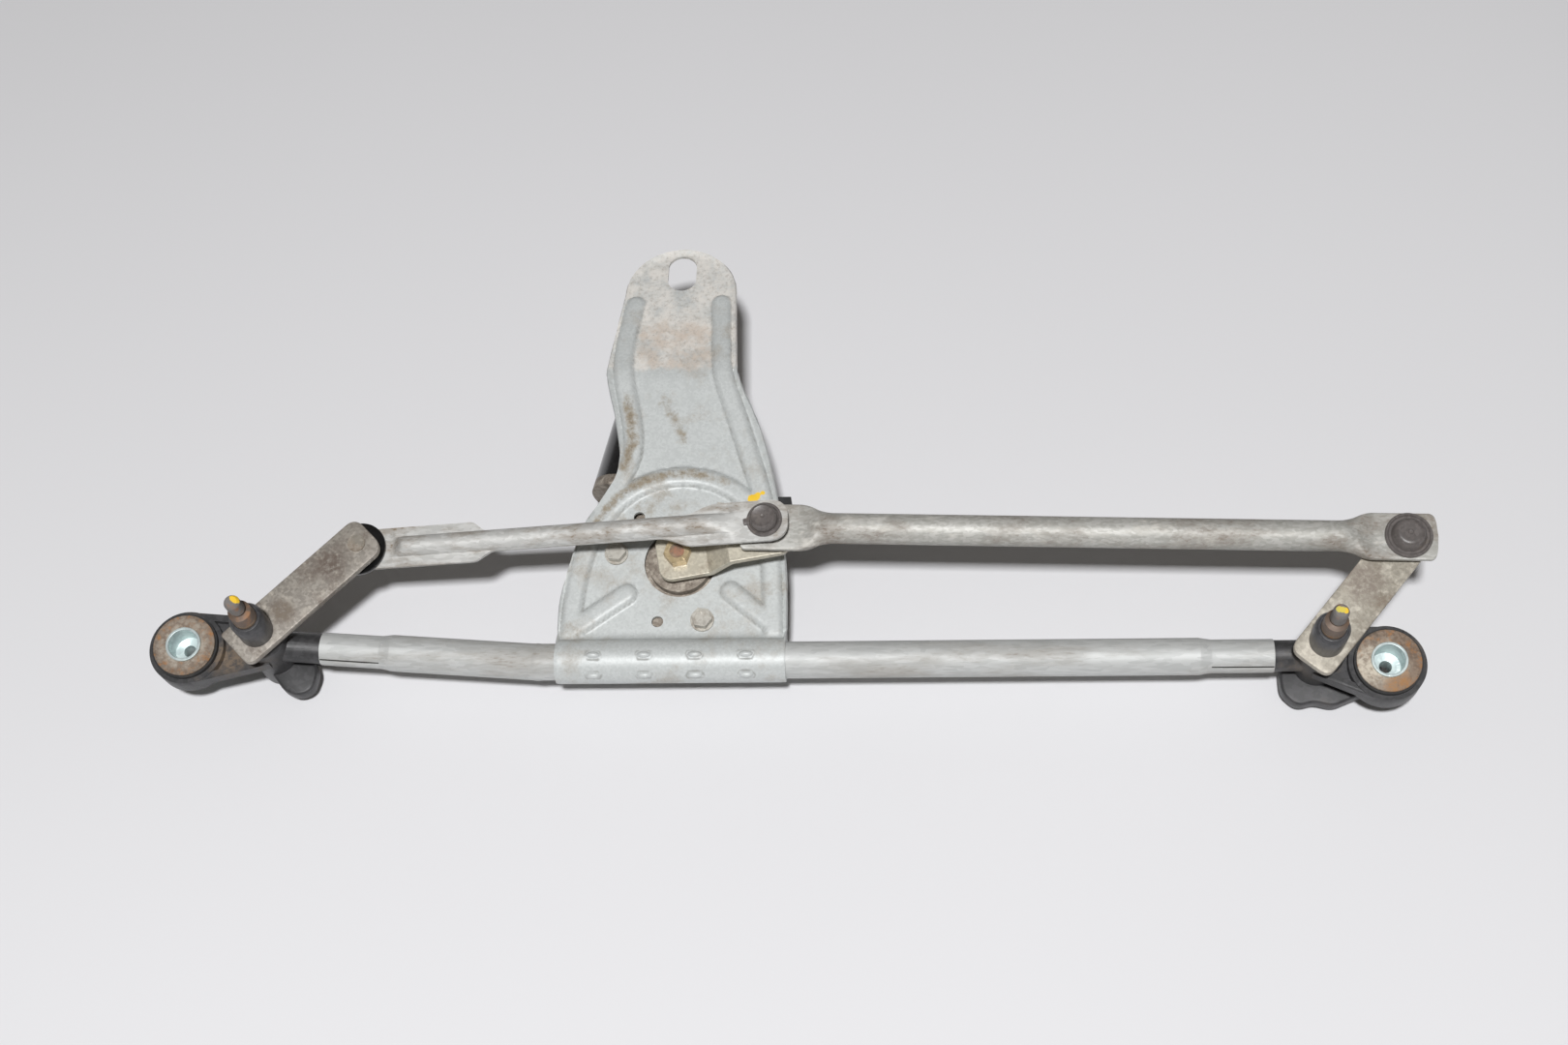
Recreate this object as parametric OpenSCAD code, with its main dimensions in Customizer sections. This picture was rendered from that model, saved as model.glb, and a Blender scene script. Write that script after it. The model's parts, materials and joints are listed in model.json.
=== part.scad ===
// Wiper linkage: a tube frame with a pressed motor plate, a geared motor under it, and a
// crank that drives two wiper shafts through two links. Sizes in millimetres.
// The layout is drawn in the plane of the linkage, with the crank axis at x = 0, y = 0 and
// the tube axis at z = 0, and the whole is then laid down as it rests on a flat floor.

/* [Linkage layout] */
// Distance from the crank axis to the crank pin
crank_r = 50; // [46:0.5:53]
// Crank angle at rest, from the x axis
crank_rest = 9.8; // [6:0.2:14]
// Distance from a wiper shaft to its ball
lever_len = 71; // [68:0.5:76]
// Left lever angle at rest
left_lever_rest = 44.5; // [40:0.5:48]
// Right lever angle at rest
right_lever_rest = 50.5; // [46:0.5:54]
// Left wiper shaft, distance to the left of the crank axis
left_shaft_reach = 225.7; // [215:0.1:240]
// Right wiper shaft, distance to the right of the crank axis
right_shaft_reach = 342.7; // [325:0.1:360]
// Tube axis, distance in front of the crank axis
tube_setback = 56.2; // [54:0.1:62]

/* [Frame tube] */
// Outer diameter of the tube
tube_od = 20; // [19:0.5:22]
// Wall of the tube
tube_wall = 1.5; // [1.2:0.1:2]
// Diameter of the swaged tube ends
tube_neck_od = 18; // [17:0.5:18.5]
// Length of the swaged tube ends
tube_neck_len = 33; // [24:1:40]
// Bend of the left leg
left_leg_bend = 4.2; // [2:0.1:5]

/* [Motor plate] */
// Sheet thickness
sheet = 2; // [1.6:0.1:2.4]
// Depth of the pressed beads
bead_depth = 2.2; // [1.6:0.1:2.6]
// Height of the turned-up rim
rim_h = 3.4; // [2.4:0.1:4.5]
// Bend of the plate head, downwards
head_bend = 12; // [6:1:16]
// Width of the fixing slot in the head
slot_w = 15; // [12:0.5:18]
// Length of the fixing slot in the head
slot_l = 24; // [20:0.5:28]
// Radius of the circle of the motor bolts
bolt_circle = 35.9; // [35:0.1:36.5]

/* [Levers and shafts] */
// Width of the levers
lever_w = 25; // [23:0.5:26]
// Thickness of the levers
lever_t = 4.5; // [4:0.25:5]
// Height of the top of the levers over the tube axis
lever_top = 25; // [24:0.25:26.5]
// Diameter of the wiper shafts in their bearings
shaft_d = 10; // [9:0.5:11]
// Length of the wiper shafts above the levers
shaft_reach = 48; // [42:1:54]
// Thread diameter of the wiper shafts
thread_d = 8; // [7:0.5:8.5]

/* [Ball joints] */
// Diameter of the balls
ball_d = 12; // [11:0.5:12.5]
// Height of a ball over the face that carries its stud
ball_rise = 6.5; // [6.2:0.1:7]
// Radial running clearance of balls, shafts and bearings
run_clear = 0.05; // [0.02:0.01:0.1]
// Gap between faces that pass each other
face_gap = 0.4; // [0.3:0.05:0.6]

/* [Links] */
// Outer diameter of the right link, a tube with flattened ends
right_link_od = 16.5; // [15:0.5:17]
// Diameter of the rolled bar of the left link
left_link_d = 11.5; // [10:0.5:12.5]
// Sheet thickness of the left link
left_link_t = 2; // [1.6:0.1:2.4]

/* [Mounting bushes] */
// Outer diameter of the housing rings
ring_od = 41; // [39:0.5:43]
// Diameter of the bush washers
washer_d = 34; // [32:0.5:36]
// Counterbore of the bush sleeves
sleeve_bore_d = 16; // [14:0.5:16.5]
// Screw hole of the bush sleeves
screw_hole_d = 6.6; // [5.5:0.1:8.5]

/* [Motor] */
// Diameter of the motor can
can_d = 59; // [56:0.5:60]
// Length of the motor can
can_len = 72; // [64:1:80]
// Distance from the crank axis to the motor axis
worm_offset = 38; // [37.5:0.1:39]
// Motor axis, turned clockwise from the y axis
motor_turn = 14; // [10:1:18]

/* [Hidden] */
$fn = 64;
big = 200;
half_sheet = sheet / 2;

// Linkage points
left_leg_start = -76;
bend_bulge = 0.25;
left_shaft_x = -left_shaft_reach;
right_shaft_x = right_shaft_reach;
tube_y = -tube_setback;
left_shaft_y = tube_y + (left_leg_start - left_shaft_x) * tan(left_leg_bend);
left_shaft = [left_shaft_x, left_shaft_y];
right_shaft = [right_shaft_x, tube_y];
crank_pin = crank_r * [cos(crank_rest), sin(crank_rest)];
left_ball = left_shaft + lever_len * [cos(left_lever_rest), sin(left_lever_rest)];
right_ball = right_shaft + lever_len * [cos(right_lever_rest), sin(right_lever_rest)];
left_link_len = norm(crank_pin - left_ball);
right_link_len = norm(right_ball - crank_pin);
left_link_yaw = atan2(crank_pin[1] - left_ball[1], crank_pin[0] - left_ball[0]);
right_link_yaw = atan2(right_ball[1] - crank_pin[1], right_ball[0] - crank_pin[0]);

// Heights over the tube axis
ball_r = ball_d / 2;
lever_low = lever_top - lever_t;
right_link_z = lever_top + ball_rise;
left_outer_z = lever_low - ball_rise;
crank_tip_top = right_link_z - ball_rise;
left_inner_z = right_link_z + 9.8;
left_link_pitch = atan2(left_inner_z - left_outer_z, left_link_len);
hub_top = 13.6;
crank_t = 4.5;
nut_h = 6.4;
thread_r = thread_d / 2;
shaft_r = shaft_d / 2;
tip_z = lever_top + shaft_reach;

// Ball studs and sockets
neck_r = 3.4;
shoulder_r = 6.6;
socket_r = ball_r + 2.4;
cavity_r = ball_r + run_clear;
mouth_r = 4.7;

// Tube ends
tube_r = tube_od / 2;
neck_or = tube_neck_od / 2;
neck_ir = neck_or - tube_wall;
left_tube_end = 30.5;
right_tube_end = 24.5;
left_leg_len = (left_leg_start - left_shaft_x) / cos(left_leg_bend) - left_tube_end;
right_leg_len = right_shaft_x - left_leg_start - right_tube_end;

// Bushes
left_bush = left_shaft + [-43.4, -3.4];
right_bush = right_shaft + [33.8, -7];
ring_r = ring_od / 2;
ring_ir = ring_r - 4.5;
ring_low = -6;
ring_high = 8;
sleeve_r = sleeve_bore_d / 2 + 1;
sleeve_top = 14.5;
sleeve_low = -10;
sleeve_seat = 1;
washer_t = 1.8;
washer_low = 11;

// Pivot barrels
barrel_r = 12.5;
barrel_top = 17;
bearing_r = shaft_r + 2;
circlip_r = 8.2;

// Motor
worm_z = -34;
can_r = can_d / 2;
can_start = 46;
chamber_r = 30.5;
housing_r = 37.5;
tower_r = 9.5;
tower_top = 7.6;
worm_foot = worm_offset * [-cos(motor_turn), sin(motor_turn)];
can_near_y = worm_foot[1] + can_start * cos(motor_turn);
bolt_turn = -69;
spare_turn = bolt_turn - 40;
boss_r = 6.2;
plug_y = 31;
plug_z = -17;
plug_end = 60;

// The way it lies: on the front rims of the two pivot barrels and on the motor can
barrel_low = -28;
lying_tilt = atan((can_r - worm_z + barrel_low) / (can_near_y - tube_y + barrel_r));
left_barrel_low = barrel_low - (left_shaft_y - tube_y) * tan(lying_tilt);

// Plate outline, clockwise from the front left corner up to the bend of the head
plate_left = [[-66, tube_y], [-66, -22], [-62, -3.5], [-55.5, 21], [-48.5, 31], [-42, 42],
    [-36.5, 52], [-35, 64], [-39, 88], [-43.2, 104], [-45, 116]];
plate_right = [[29, 116], [32.5, 104], [37.5, 93.5], [45.5, 72.5], [53.5, 36.5], [58.2, 0],
    [59, -22], [59, tube_y]];
bend_y = 116;
head_mid = -5.5;
head_arc_y = 56;
head_arc_r = 32;
slot_y = 70;
clamp_x0 = -66;
clamp_x1 = 59;
bead_w = 5.5;
seat_bead_r = 51;

// Fold between sheet and clamp: its arc meets the ring of the clamp on the line of centres
fold_run = tube_setback + bolt_circle * sin(bolt_turn) - 7;
clamp_mid_r = tube_r + half_sheet;
fold_y = tube_y + fold_run;
fold_r = (fold_run * fold_run - clamp_mid_r * clamp_mid_r) / (2 * clamp_mid_r);
fold_turn = atan2(fold_r, fold_run);
clamp_turn = 250;

// Lays the linkage down with the left mounting bush at the origin
module on_floor() {
    rotate([lying_tilt, 0, 0])
        translate([-left_bush[0], -left_bush[1], -sleeve_seat])
            children();
}

module at_point(p, z = 0, turn = 0) {
    translate([p[0], p[1], z])
        rotate([0, 0, turn])
            children();
}

module rod(r, z0, z1) {
    translate([0, 0, z0])
        cylinder(r = r, h = z1 - z0);
}

// Bar with rounded corners, from x0 to x1, centred on the x axis
module rounded_bar(x0, x1, w, r, h) {
    translate([x0 + r, -w / 2, 0])
        cube([x1 - x0 - 2 * r, w, h]);
    translate([x0, -w / 2 + r, 0])
        cube([x1 - x0, w - 2 * r, h]);
    for (x = [x0 + r, x1 - r])
        for (y = [-w / 2 + r, w / 2 - r])
            translate([x, y, 0])
                cylinder(r = r, h = h);
}

// Outer tangent quadrilateral of two circles
function web_points(a, ra, b, rb) =
    let (turn = atan2(b[1] - a[1], b[0] - a[0]))
    let (side = acos((ra - rb) / norm(b - a)))
    [a + ra * [cos(turn + side), sin(turn + side)],
     b + rb * [cos(turn + side), sin(turn + side)],
     b + rb * [cos(turn - side), sin(turn - side)],
     a + ra * [cos(turn - side), sin(turn - side)]];

module web(a, ra, b, rb, z0, z1) {
    translate([0, 0, z0])
        linear_extrude(height = z1 - z0)
            polygon(web_points(a, ra, b, rb));
}

// Frame tube: two legs with swaged ends that meet at a gentle bend beside the plate clamp
module leg(length, r_big, r_neck) {
    rotate_extrude()
        polygon([[0, 0], [r_big, 0], [r_big, length - tube_neck_len - 6],
            [r_neck, length - tube_neck_len], [r_neck, length], [0, length]]);
}

// Both legs from the bend, whose outside is a ball zone a little wider than the tube
module both_legs(r_big, r_neck, extra) {
    sphere(r = r_big + bend_bulge);
    rotate([0, 90, 0])
        leg(right_leg_len + extra, r_big, r_neck);
    rotate([0, 0, -left_leg_bend])
        rotate([0, -90, 0])
            leg(left_leg_len + extra, r_big, r_neck);
}

module crimp_slot(length) {
    translate([length - tube_neck_len + 3, -1, -neck_or - 1])
        cube([tube_neck_len, 2, 4]);
}

module frame_tube() {
    color([0.72, 0.74, 0.74])
        on_floor()
            at_point([left_leg_start, tube_y])
                difference() {
                    both_legs(tube_r, neck_or, 0);
                    both_legs(tube_r - tube_wall, neck_ir, 1);
                    rotate([-40, 0, 0])
                        crimp_slot(right_leg_len);
                    rotate([0, 0, 180 - left_leg_bend])
                        rotate([40, 0, 0])
                            crimp_slot(left_leg_len);
                }
}

// Motor plate: pressed sheet with a turned-up rim, pressed beads, and a clamp round the tube
function inset_line(a, b, d) =
    let (n = [b[1] - a[1], a[0] - b[0]] / norm(b - a))
    [a + d * n, b + d * n];

function meet(p, q) =
    let (u = p[1] - p[0])
    let (v = q[1] - q[0])
    let (w = q[0] - p[0])
    let (k = (w[0] * v[1] - w[1] * v[0]) / (u[0] * v[1] - u[1] * v[0]))
    p[0] + k * u;

// Path moved sideways by d, to the right of its direction
function inset_path(p, d) =
    let (n = len(p))
    [for (i = [0 : n - 1])
        i == 0 ? inset_line(p[0], p[1], d)[0]
        : i == n - 1 ? inset_line(p[n - 2], p[n - 1], d)[1]
        : meet(inset_line(p[i - 1], p[i], d), inset_line(p[i], p[i + 1], d))];

module body_shape(d) {
    polygon(concat(inset_path(plate_left, d), inset_path(plate_right, d)));
}

module head_shape(d) {
    polygon([[-45 + d, -0.6], [-41.4 + d, 29], [-37.5 + d, head_arc_y],
        [26.5 - d, head_arc_y], [27.5 - d, 29], [29 - d, -0.6]]);
    translate([head_mid, head_arc_y])
        circle(r = head_arc_r - d);
}

// Straight bead from a to b, pressed upwards; grow is the sheet round its hollow
module bead(a, b, w, grow) {
    turn = atan2(b[1] - a[1], b[0] - a[0]);
    r = w / 2 + grow;
    h = bead_depth + grow + 0.2;
    at_point(a, -half_sheet - 0.2, turn) {
        cylinder(r = r, h = h);
        translate([0, -r, 0])
            cube([norm(b - a), 2 * r, h]);
        translate([norm(b - a), 0, 0])
            cylinder(r = r, h = h);
    }
}

// Bead round the motor seat
module ring_bead(grow) {
    h = bead_depth + grow + 0.2;
    translate([0, 0, -half_sheet - 0.2])
        rotate([0, 0, 24])
            rotate_extrude(angle = 132)
                translate([seat_bead_r - bead_w / 2 - grow, 0])
                    square([bead_w + 2 * grow, h]);
    for (turn = [24, 156])
        rotate([0, 0, turn])
            translate([seat_bead_r, 0, -half_sheet - 0.2])
                cylinder(r = bead_w / 2 + grow, h = h);
}

module body_beads(grow) {
    bead([-35.5, 109], [-28.5, 72], bead_w, grow);
    bead([20.5, 109], [33.5, 72], bead_w, grow);
    bead([-47.5, 19], [-57, -18], bead_w, grow);
    bead([48.5, 15], [50.5, -18], bead_w, grow);
    bead([-51, -22], [-33, -20], bead_w, grow);
    bead([44, -22], [30, -20], bead_w, grow);
    ring_bead(grow);
}

module head_beads(grow) {
    bead([-35.5, 8], [-31.5, 48], bead_w, grow);
    bead([20, 8], [18.5, 48], bead_w, grow);
}

module plate_holes() {
    translate([0, 0, -big / 2])
        cylinder(r = 19.8, h = big);
    for (k = [0 : 2])
        for (turn = [bolt_turn, spare_turn])
            rotate([0, 0, turn + 120 * k])
                translate([bolt_circle, 0, -big / 2])
                    cylinder(d = 6.4, h = big);
}

module plate_body() {
    difference() {
        union() {
            translate([0, 0, -half_sheet])
                linear_extrude(height = sheet)
                    body_shape(0);
            linear_extrude(height = half_sheet + rim_h)
                difference() {
                    body_shape(0);
                    body_shape(sheet);
                }
            intersection() {
                body_beads(sheet * 0.8);
                translate([0, 0, -half_sheet])
                    linear_extrude(height = 20)
                        body_shape(0.2);
            }
        }
        body_beads(0);
        plate_holes();
        translate([-big, fold_y + 1 - big, -big / 2])
            cube([2 * big, big, big]);
    }
}

module plate_head() {
    translate([0, bend_y, 0])
        rotate([-head_bend, 0, 0])
            difference() {
                union() {
                    translate([0, 0, -half_sheet])
                        linear_extrude(height = sheet)
                            head_shape(0);
                    linear_extrude(height = half_sheet + rim_h)
                        difference() {
                            head_shape(0);
                            head_shape(sheet);
                            translate([-big / 2, -1])
                                square([big, 1.5]);
                        }
                    intersection() {
                        head_beads(sheet * 0.8);
                        translate([0, 0, -half_sheet])
                            linear_extrude(height = 20)
                                head_shape(0.2);
                    }
                }
                head_beads(0);
                translate([head_mid, slot_y, -big / 2]) {
                    for (end = [-1, 1])
                        translate([0, end * (slot_l - slot_w) / 2, 0])
                            cylinder(d = slot_w, h = big);
                    translate([-slot_w / 2, -(slot_l - slot_w) / 2, 0])
                        cube([slot_w, slot_l - slot_w, big]);
                }
            }
}

// Section of the fold: an arc that rises from the sheet to the top of the clamp round the tube,
// a little thinned by the drawing and lapped at both of its ends
module fold_section() {
    end = 177 + fold_turn;
    half = half_sheet - 0.05;
    translate([fold_y, fold_r])
        intersection() {
            difference() {
                circle(r = fold_r + half);
                circle(r = fold_r - half);
            }
            polygon([[0.2, 0], [0.2, -2 * fold_run], [-2 * fold_run, -2 * fold_run],
                2 * fold_run * [cos(end), sin(end)]]);
        }
    translate([fold_y, -half_sheet])
        square([3, sheet]);
}

// Section of the clamp: three quarters of a ring round the tube
module clamp_section() {
    translate([tube_y, 0])
        difference() {
            circle(r = tube_r + sheet);
            circle(r = tube_r);
            polygon([[0, 0], [big * cos(clamp_turn), big * sin(clamp_turn)], [big, -big],
                [big, big * sin(fold_turn) / cos(fold_turn)]]);
        }
}

// Clamp rolled round the tube, open along the back, with two rows of staking slots
module plate_clamp() {
    difference() {
        translate([clamp_x0, 0, 0])
            rotate([90, 0, 90])
                linear_extrude(height = clamp_x1 - clamp_x0) {
                    fold_section();
                    clamp_section();
                }
        for (k = [0 : 3])
            for (tilt = [-16, 35])
                translate([-44.7 + 27.5 * k, tube_y, 0])
                    rotate([tilt, 0, 0])
                        translate([-3.8, -1.3, tube_r + 1])
                            cube([7.6, 2.6, 5]);
    }
}

module motor_plate() {
    color([0.68, 0.70, 0.66])
        on_floor() {
            plate_body();
            plate_head();
            plate_clamp();
        }
}

// Pivot housings: shaft barrel, spigot for the tube, and a ring for the mounting bush
module housing_solid(shaft, bush, low, tube_turn, tube_end) {
    at_point(shaft)
        rod(barrel_r, low, barrel_top);
    at_point(bush)
        rod(ring_r, ring_low, ring_high);
    web(shaft, barrel_r - 1, bush, ring_r - 2, ring_low, 3);
    at_point(shaft, 0, tube_turn) {
        rotate([0, 90, 0])
            cylinder(r = neck_or - 0.6, h = tube_end - 0.2);
        rotate([0, 90, 0])
            cylinder(r = neck_ir, h = tube_end + 24);
        translate([0, -2, low + 5])
            cube([tube_end - 6, 4, -low - 5]);
    }
}

module web_rims(shaft, bush) {
    p = web_points(shaft, barrel_r - 1, bush, ring_r - 2);
    for (side = [[p[0], p[1]], [p[3], p[2]]]) {
        a = side[0];
        b = side[1];
        at_point(a, 0, atan2(b[1] - a[1], b[0] - a[0]))
            translate([0, -2, 0])
                cube([norm(b - a), 4, 7]);
    }
}

module pivot_housing(shaft, bush, low, tube_turn, tube_end) {
    difference() {
        union() {
            housing_solid(shaft, bush, low, tube_turn, tube_end);
            web_rims(shaft, bush);
        }
        at_point(bush)
            rod(ring_ir, -big, big);
        at_point(shaft) {
            rod(bearing_r, -big, big);
            rod(circlip_r + 0.8, low - 1, low + 4);
        }
        at_point(shaft)
            rotate_extrude()
                polygon([[barrel_r - 2, barrel_top + 0.1], [barrel_r + 1, barrel_top + 0.1],
                    [barrel_r + 1, barrel_top - 2.9]]);
    }
}

module left_pivot_housing() {
    color([0.13, 0.13, 0.14])
        on_floor()
            pivot_housing(left_shaft, left_bush, left_barrel_low, -left_leg_bend, left_tube_end);
}

module right_pivot_housing() {
    color([0.13, 0.13, 0.14])
        on_floor()
            pivot_housing(right_shaft, right_bush, barrel_low, 180, right_tube_end);
}

module bearing_bush(shaft, low) {
    color([0.55, 0.45, 0.3])
        on_floor()
            at_point(shaft)
                difference() {
                    rod(bearing_r, low + 4, barrel_top);
                    rod(shaft_r + run_clear, -big, big);
                }
}

module left_bearing_bush() {
    bearing_bush(left_shaft, left_barrel_low);
}

module right_bearing_bush() {
    bearing_bush(right_shaft, barrel_low);
}

// Mounting bushes: rubber spool gripped by the ring, steel sleeve and top washer
module bush_rubber(bush) {
    color([0.06, 0.06, 0.06])
        on_floor()
            at_point(bush)
                rotate_extrude()
                    polygon([[sleeve_r, ring_low - 3], [ring_ir + 1.5, ring_low - 3],
                        [ring_ir + 1.5, ring_low], [ring_ir, ring_low], [ring_ir, ring_high],
                        [ring_ir + 2, ring_high], [ring_ir + 2, washer_low],
                        [sleeve_r, washer_low]]);
}

module left_bush_rubber() {
    bush_rubber(left_bush);
}

module right_bush_rubber() {
    bush_rubber(right_bush);
}

module bush_sleeve(bush) {
    color([0.75, 0.78, 0.78])
        on_floor()
            at_point(bush)
                rotate_extrude()
                    polygon([[screw_hole_d / 2, sleeve_low], [sleeve_r, sleeve_low],
                        [sleeve_r, washer_low + washer_t], [sleeve_r + 0.6, washer_low + washer_t],
                        [sleeve_r + 0.6, sleeve_top], [sleeve_r - 0.8, sleeve_top],
                        [sleeve_bore_d / 2, sleeve_top - 0.8], [sleeve_bore_d / 2, sleeve_seat],
                        [screw_hole_d / 2, sleeve_seat]]);
}

module left_bush_sleeve() {
    bush_sleeve(left_bush);
}

module right_bush_sleeve() {
    bush_sleeve(right_bush);
}

module bush_washer(bush) {
    color([0.42, 0.33, 0.26])
        on_floor()
            at_point(bush)
                difference() {
                    rod(washer_d / 2, washer_low, washer_low + washer_t);
                    rod(sleeve_r, -big, big);
                }
}

module left_bush_washer() {
    bush_washer(left_bush);
}

module right_bush_washer() {
    bush_washer(right_bush);
}

// Geared motor: cast housing bolted under the plate, cover, can and plug
module along_motor() {
    translate([worm_foot[0], worm_foot[1], worm_z])
        rotate([0, 0, -motor_turn])
            rotate([-90, 0, 0])
                children();
}

cover_screw_turns = [10, 70, 235, 310];
cover_screw_r = housing_r + 2.5;

module housing_outside() {
    rod(housing_r, -28, -3);
    rod(17.5, -4, 3);
    rod(tower_r, 2, tower_top);
    along_motor() {
        translate([0, 0, -14])
            cylinder(r = 13, h = 57);
        translate([0, 0, can_start - 6])
            cylinder(r = can_r, h = 6);
    }
    at_point(worm_foot, -28, -motor_turn)
        translate([-12.6, -13.2, 0])
            cube([38.6, 55, 20]);
    for (k = [0 : 2])
        rotate([0, 0, bolt_turn + 120 * k])
            translate([bolt_circle, 0, 0])
                rod(boss_r, -20, -half_sheet);
    for (turn = cover_screw_turns)
        rotate([0, 0, turn])
            translate([cover_screw_r, 0, 0])
                rod(4.2, -27.7, -10);
}

module gear_housing() {
    color([0.52, 0.47, 0.43])
        on_floor()
            difference() {
                housing_outside();
                rod(chamber_r, -29, -8);
                rod(7.5, -30, 30);
                along_motor()
                    translate([0, 0, 2])
                        cylinder(r = 7.5, h = big);
                for (k = [0 : 2])
                    rotate([0, 0, bolt_turn + 120 * k])
                        translate([bolt_circle, 0, 0])
                            rod(3, -17, 10);
                for (turn = cover_screw_turns)
                    rotate([0, 0, turn])
                        translate([cover_screw_r, 0, 0])
                            rod(1.8, -29, -14);
            }
}

module gear_cover() {
    color([0.09, 0.09, 0.09])
        on_floor()
            difference() {
                union() {
                    rod(housing_r, -30, -28);
                    rod(20, -31.5, -30);
                    for (turn = cover_screw_turns)
                        rotate([0, 0, turn])
                            translate([cover_screw_r, 0, 0])
                                rod(4.2, -30, -28);
                }
                for (turn = cover_screw_turns)
                    rotate([0, 0, turn])
                        translate([cover_screw_r, 0, 0])
                            rod(1.9, -31, -27);
                at_point(worm_foot, -33, -motor_turn)
                    translate([-15, -15, 0])
                        cube([28.4, big, 10]);
            }
}

module cover_screws() {
    color([0.7, 0.7, 0.68])
        on_floor()
            for (turn = cover_screw_turns)
                rotate([0, 0, turn])
                    translate([cover_screw_r, 0, 0])
                        difference() {
                            union() {
                                rod(1.8, -30, -15);
                                rod(3.4, -32.2, -30);
                            }
                            translate([0, 0, -33])
                                cylinder(r = 1.7, h = 1.9, $fn = 6);
                        }
}

module motor_can() {
    color([0.03, 0.03, 0.035])
        on_floor()
            along_motor()
                difference() {
                    translate([0, 0, can_start])
                        rotate_extrude()
                            polygon([[0, 0], [can_r, 0], [can_r, can_len - 7],
                                [can_r - 2, can_len - 2.5], [can_r - 6, can_len], [11, can_len],
                                [10, can_len + 6], [0, can_len + 6]]);
                    translate([0, 0, can_start])
                        rotate_extrude()
                            polygon([[0, -1], [can_r - 1.6, -1], [can_r - 1.6, can_len - 8],
                                [can_r - 8, can_len - 1.6], [9, can_len - 1.6],
                                [8.4, can_len + 4.4], [0, can_len + 4.4]]);
                }
}

module can_screws() {
    color([0.7, 0.7, 0.68])
        on_floor()
            along_motor()
                for (side = [-1, 1])
                    translate([side * 19, 0, can_start - 6])
                        difference() {
                            translate([0, 0, -4])
                                cylinder(r = 4, h = 4);
                            translate([0, 0, -5])
                                cylinder(r = 2, h = 3, $fn = 6);
                        }
}

module connector() {
    color([0.05, 0.05, 0.05])
        on_floor()
            difference() {
                union() {
                    translate([20, plug_y - 11, plug_z - 9])
                        cube([plug_end - 20, 22, 18]);
                    translate([plug_end - 17, plug_y - 13, plug_z - 7])
                        cube([4, 26, 14]);
                }
                rod(housing_r, -40, 10);
                rotate([0, 0, bolt_turn + 120])
                    translate([bolt_circle, 0, 0])
                        rod(boss_r, -40, 10);
                translate([plug_end - 15, plug_y - 9, plug_z - 7])
                    cube([30, 18, 14]);
            }
}

module flange_bolt(d, flange_d, head_af, head_h) {
    translate([0, 0, 0])
        cylinder(d = flange_d, h = 1.4);
    difference() {
        cylinder(d = head_af / cos(30), h = head_h, $fn = 6);
        translate([0, 0, head_h - 0.6])
            cylinder(d = head_af - 3, h = 1);
    }
}

module motor_bolts() {
    color([0.6, 0.58, 0.5])
        on_floor()
            for (k = [0 : 2])
                rotate([0, 0, bolt_turn + 120 * k])
                    translate([bolt_circle, 0, half_sheet]) {
                        flange_bolt(6, 13, 10, 6);
                        translate([0, 0, -16])
                            cylinder(d = 6, h = 17);
                    }
}

module output_bearing() {
    color([0.5, 0.42, 0.3])
        on_floor()
            difference() {
                rod(7.5, -8, tower_top);
                rod(5 + run_clear, -big, big);
            }
}

// Crank body: output shaft with its wheel, crank arm, nut and the double ball stud
module output_shaft() {
    color([0.55, 0.36, 0.24])
        on_floor() {
            rod(5, -25, hub_top - crank_t);
            rod(4, hub_top - crank_t - 1, hub_top + nut_h + 0.4);
        }
}

wheel_teeth = 60;
wheel_r = chamber_r - 1.2;

module worm_wheel() {
    color([0.85, 0.83, 0.75])
        on_floor()
            difference() {
                union() {
                    translate([0, 0, -24])
                        linear_extrude(height = 10)
                            polygon([for (i = [0 : 4 * wheel_teeth - 1])
                                (wheel_r - (i % 4 < 2 ? 0 : 1.8))
                                    * [cos(90 * i / wheel_teeth), sin(90 * i / wheel_teeth)]]);
                    rod(9, -25.5, -9);
                }
                rod(5, -big, big);
                for (k = [0 : 5])
                    rotate([0, 0, 60 * k])
                        translate([18, 0, 0])
                            rod(5, -big, big);
            }
}

// Crank arm: flat hub, ramp and raised tip, cut from one bent strip
module crank_side() {
    low = hub_top - crank_t;
    tip_low = crank_tip_top - crank_t;
    polygon([[-13, low], [17, low], [29, tip_low], [crank_r + 13, tip_low],
        [crank_r + 13, crank_tip_top], [27.5, crank_tip_top], [15.5, hub_top], [-13, hub_top]]);
}

module crank_arm() {
    color([0.72, 0.66, 0.5])
        on_floor()
            rotate([0, 0, crank_rest])
                difference() {
                    intersection() {
                        translate([0, 14, 0])
                            rotate([90, 0, 0])
                                linear_extrude(height = 28)
                                    crank_side();
                        rounded_bar(-11.5, crank_r + 12, 27, 7, 40);
                    }
                    rod(4, -big, big);
                    translate([crank_r, 0, 0])
                        rod(4, -big, big);
                }
}

module crank_nut() {
    color([0.74, 0.6, 0.32])
        on_floor()
            rotate([0, 0, 12])
                difference() {
                    intersection() {
                        translate([0, 0, hub_top])
                            cylinder(d = 13 / cos(30), h = nut_h, $fn = 6);
                        translate([0, 0, hub_top])
                            rotate_extrude()
                                polygon([[0, 0], [9, 0], [9, nut_h - 1.4], [6.7, nut_h], [0, nut_h]]);
                    }
                    rod(4, -big, big);
                }
}

module double_ball_stud() {
    color([0.6, 0.6, 0.6])
        on_floor()
            at_point(crank_pin) {
                rod(4, crank_tip_top - crank_t, crank_tip_top);
                rod(5.6, crank_tip_top - crank_t - 1.6, crank_tip_top - crank_t);
                rod(shoulder_r, crank_tip_top, crank_tip_top + 0.9);
                rod(neck_r, crank_tip_top, left_inner_z);
                translate([0, 0, right_link_z])
                    sphere(r = ball_r);
                translate([0, 0, left_inner_z])
                    sphere(r = ball_r);
            }
}

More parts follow.
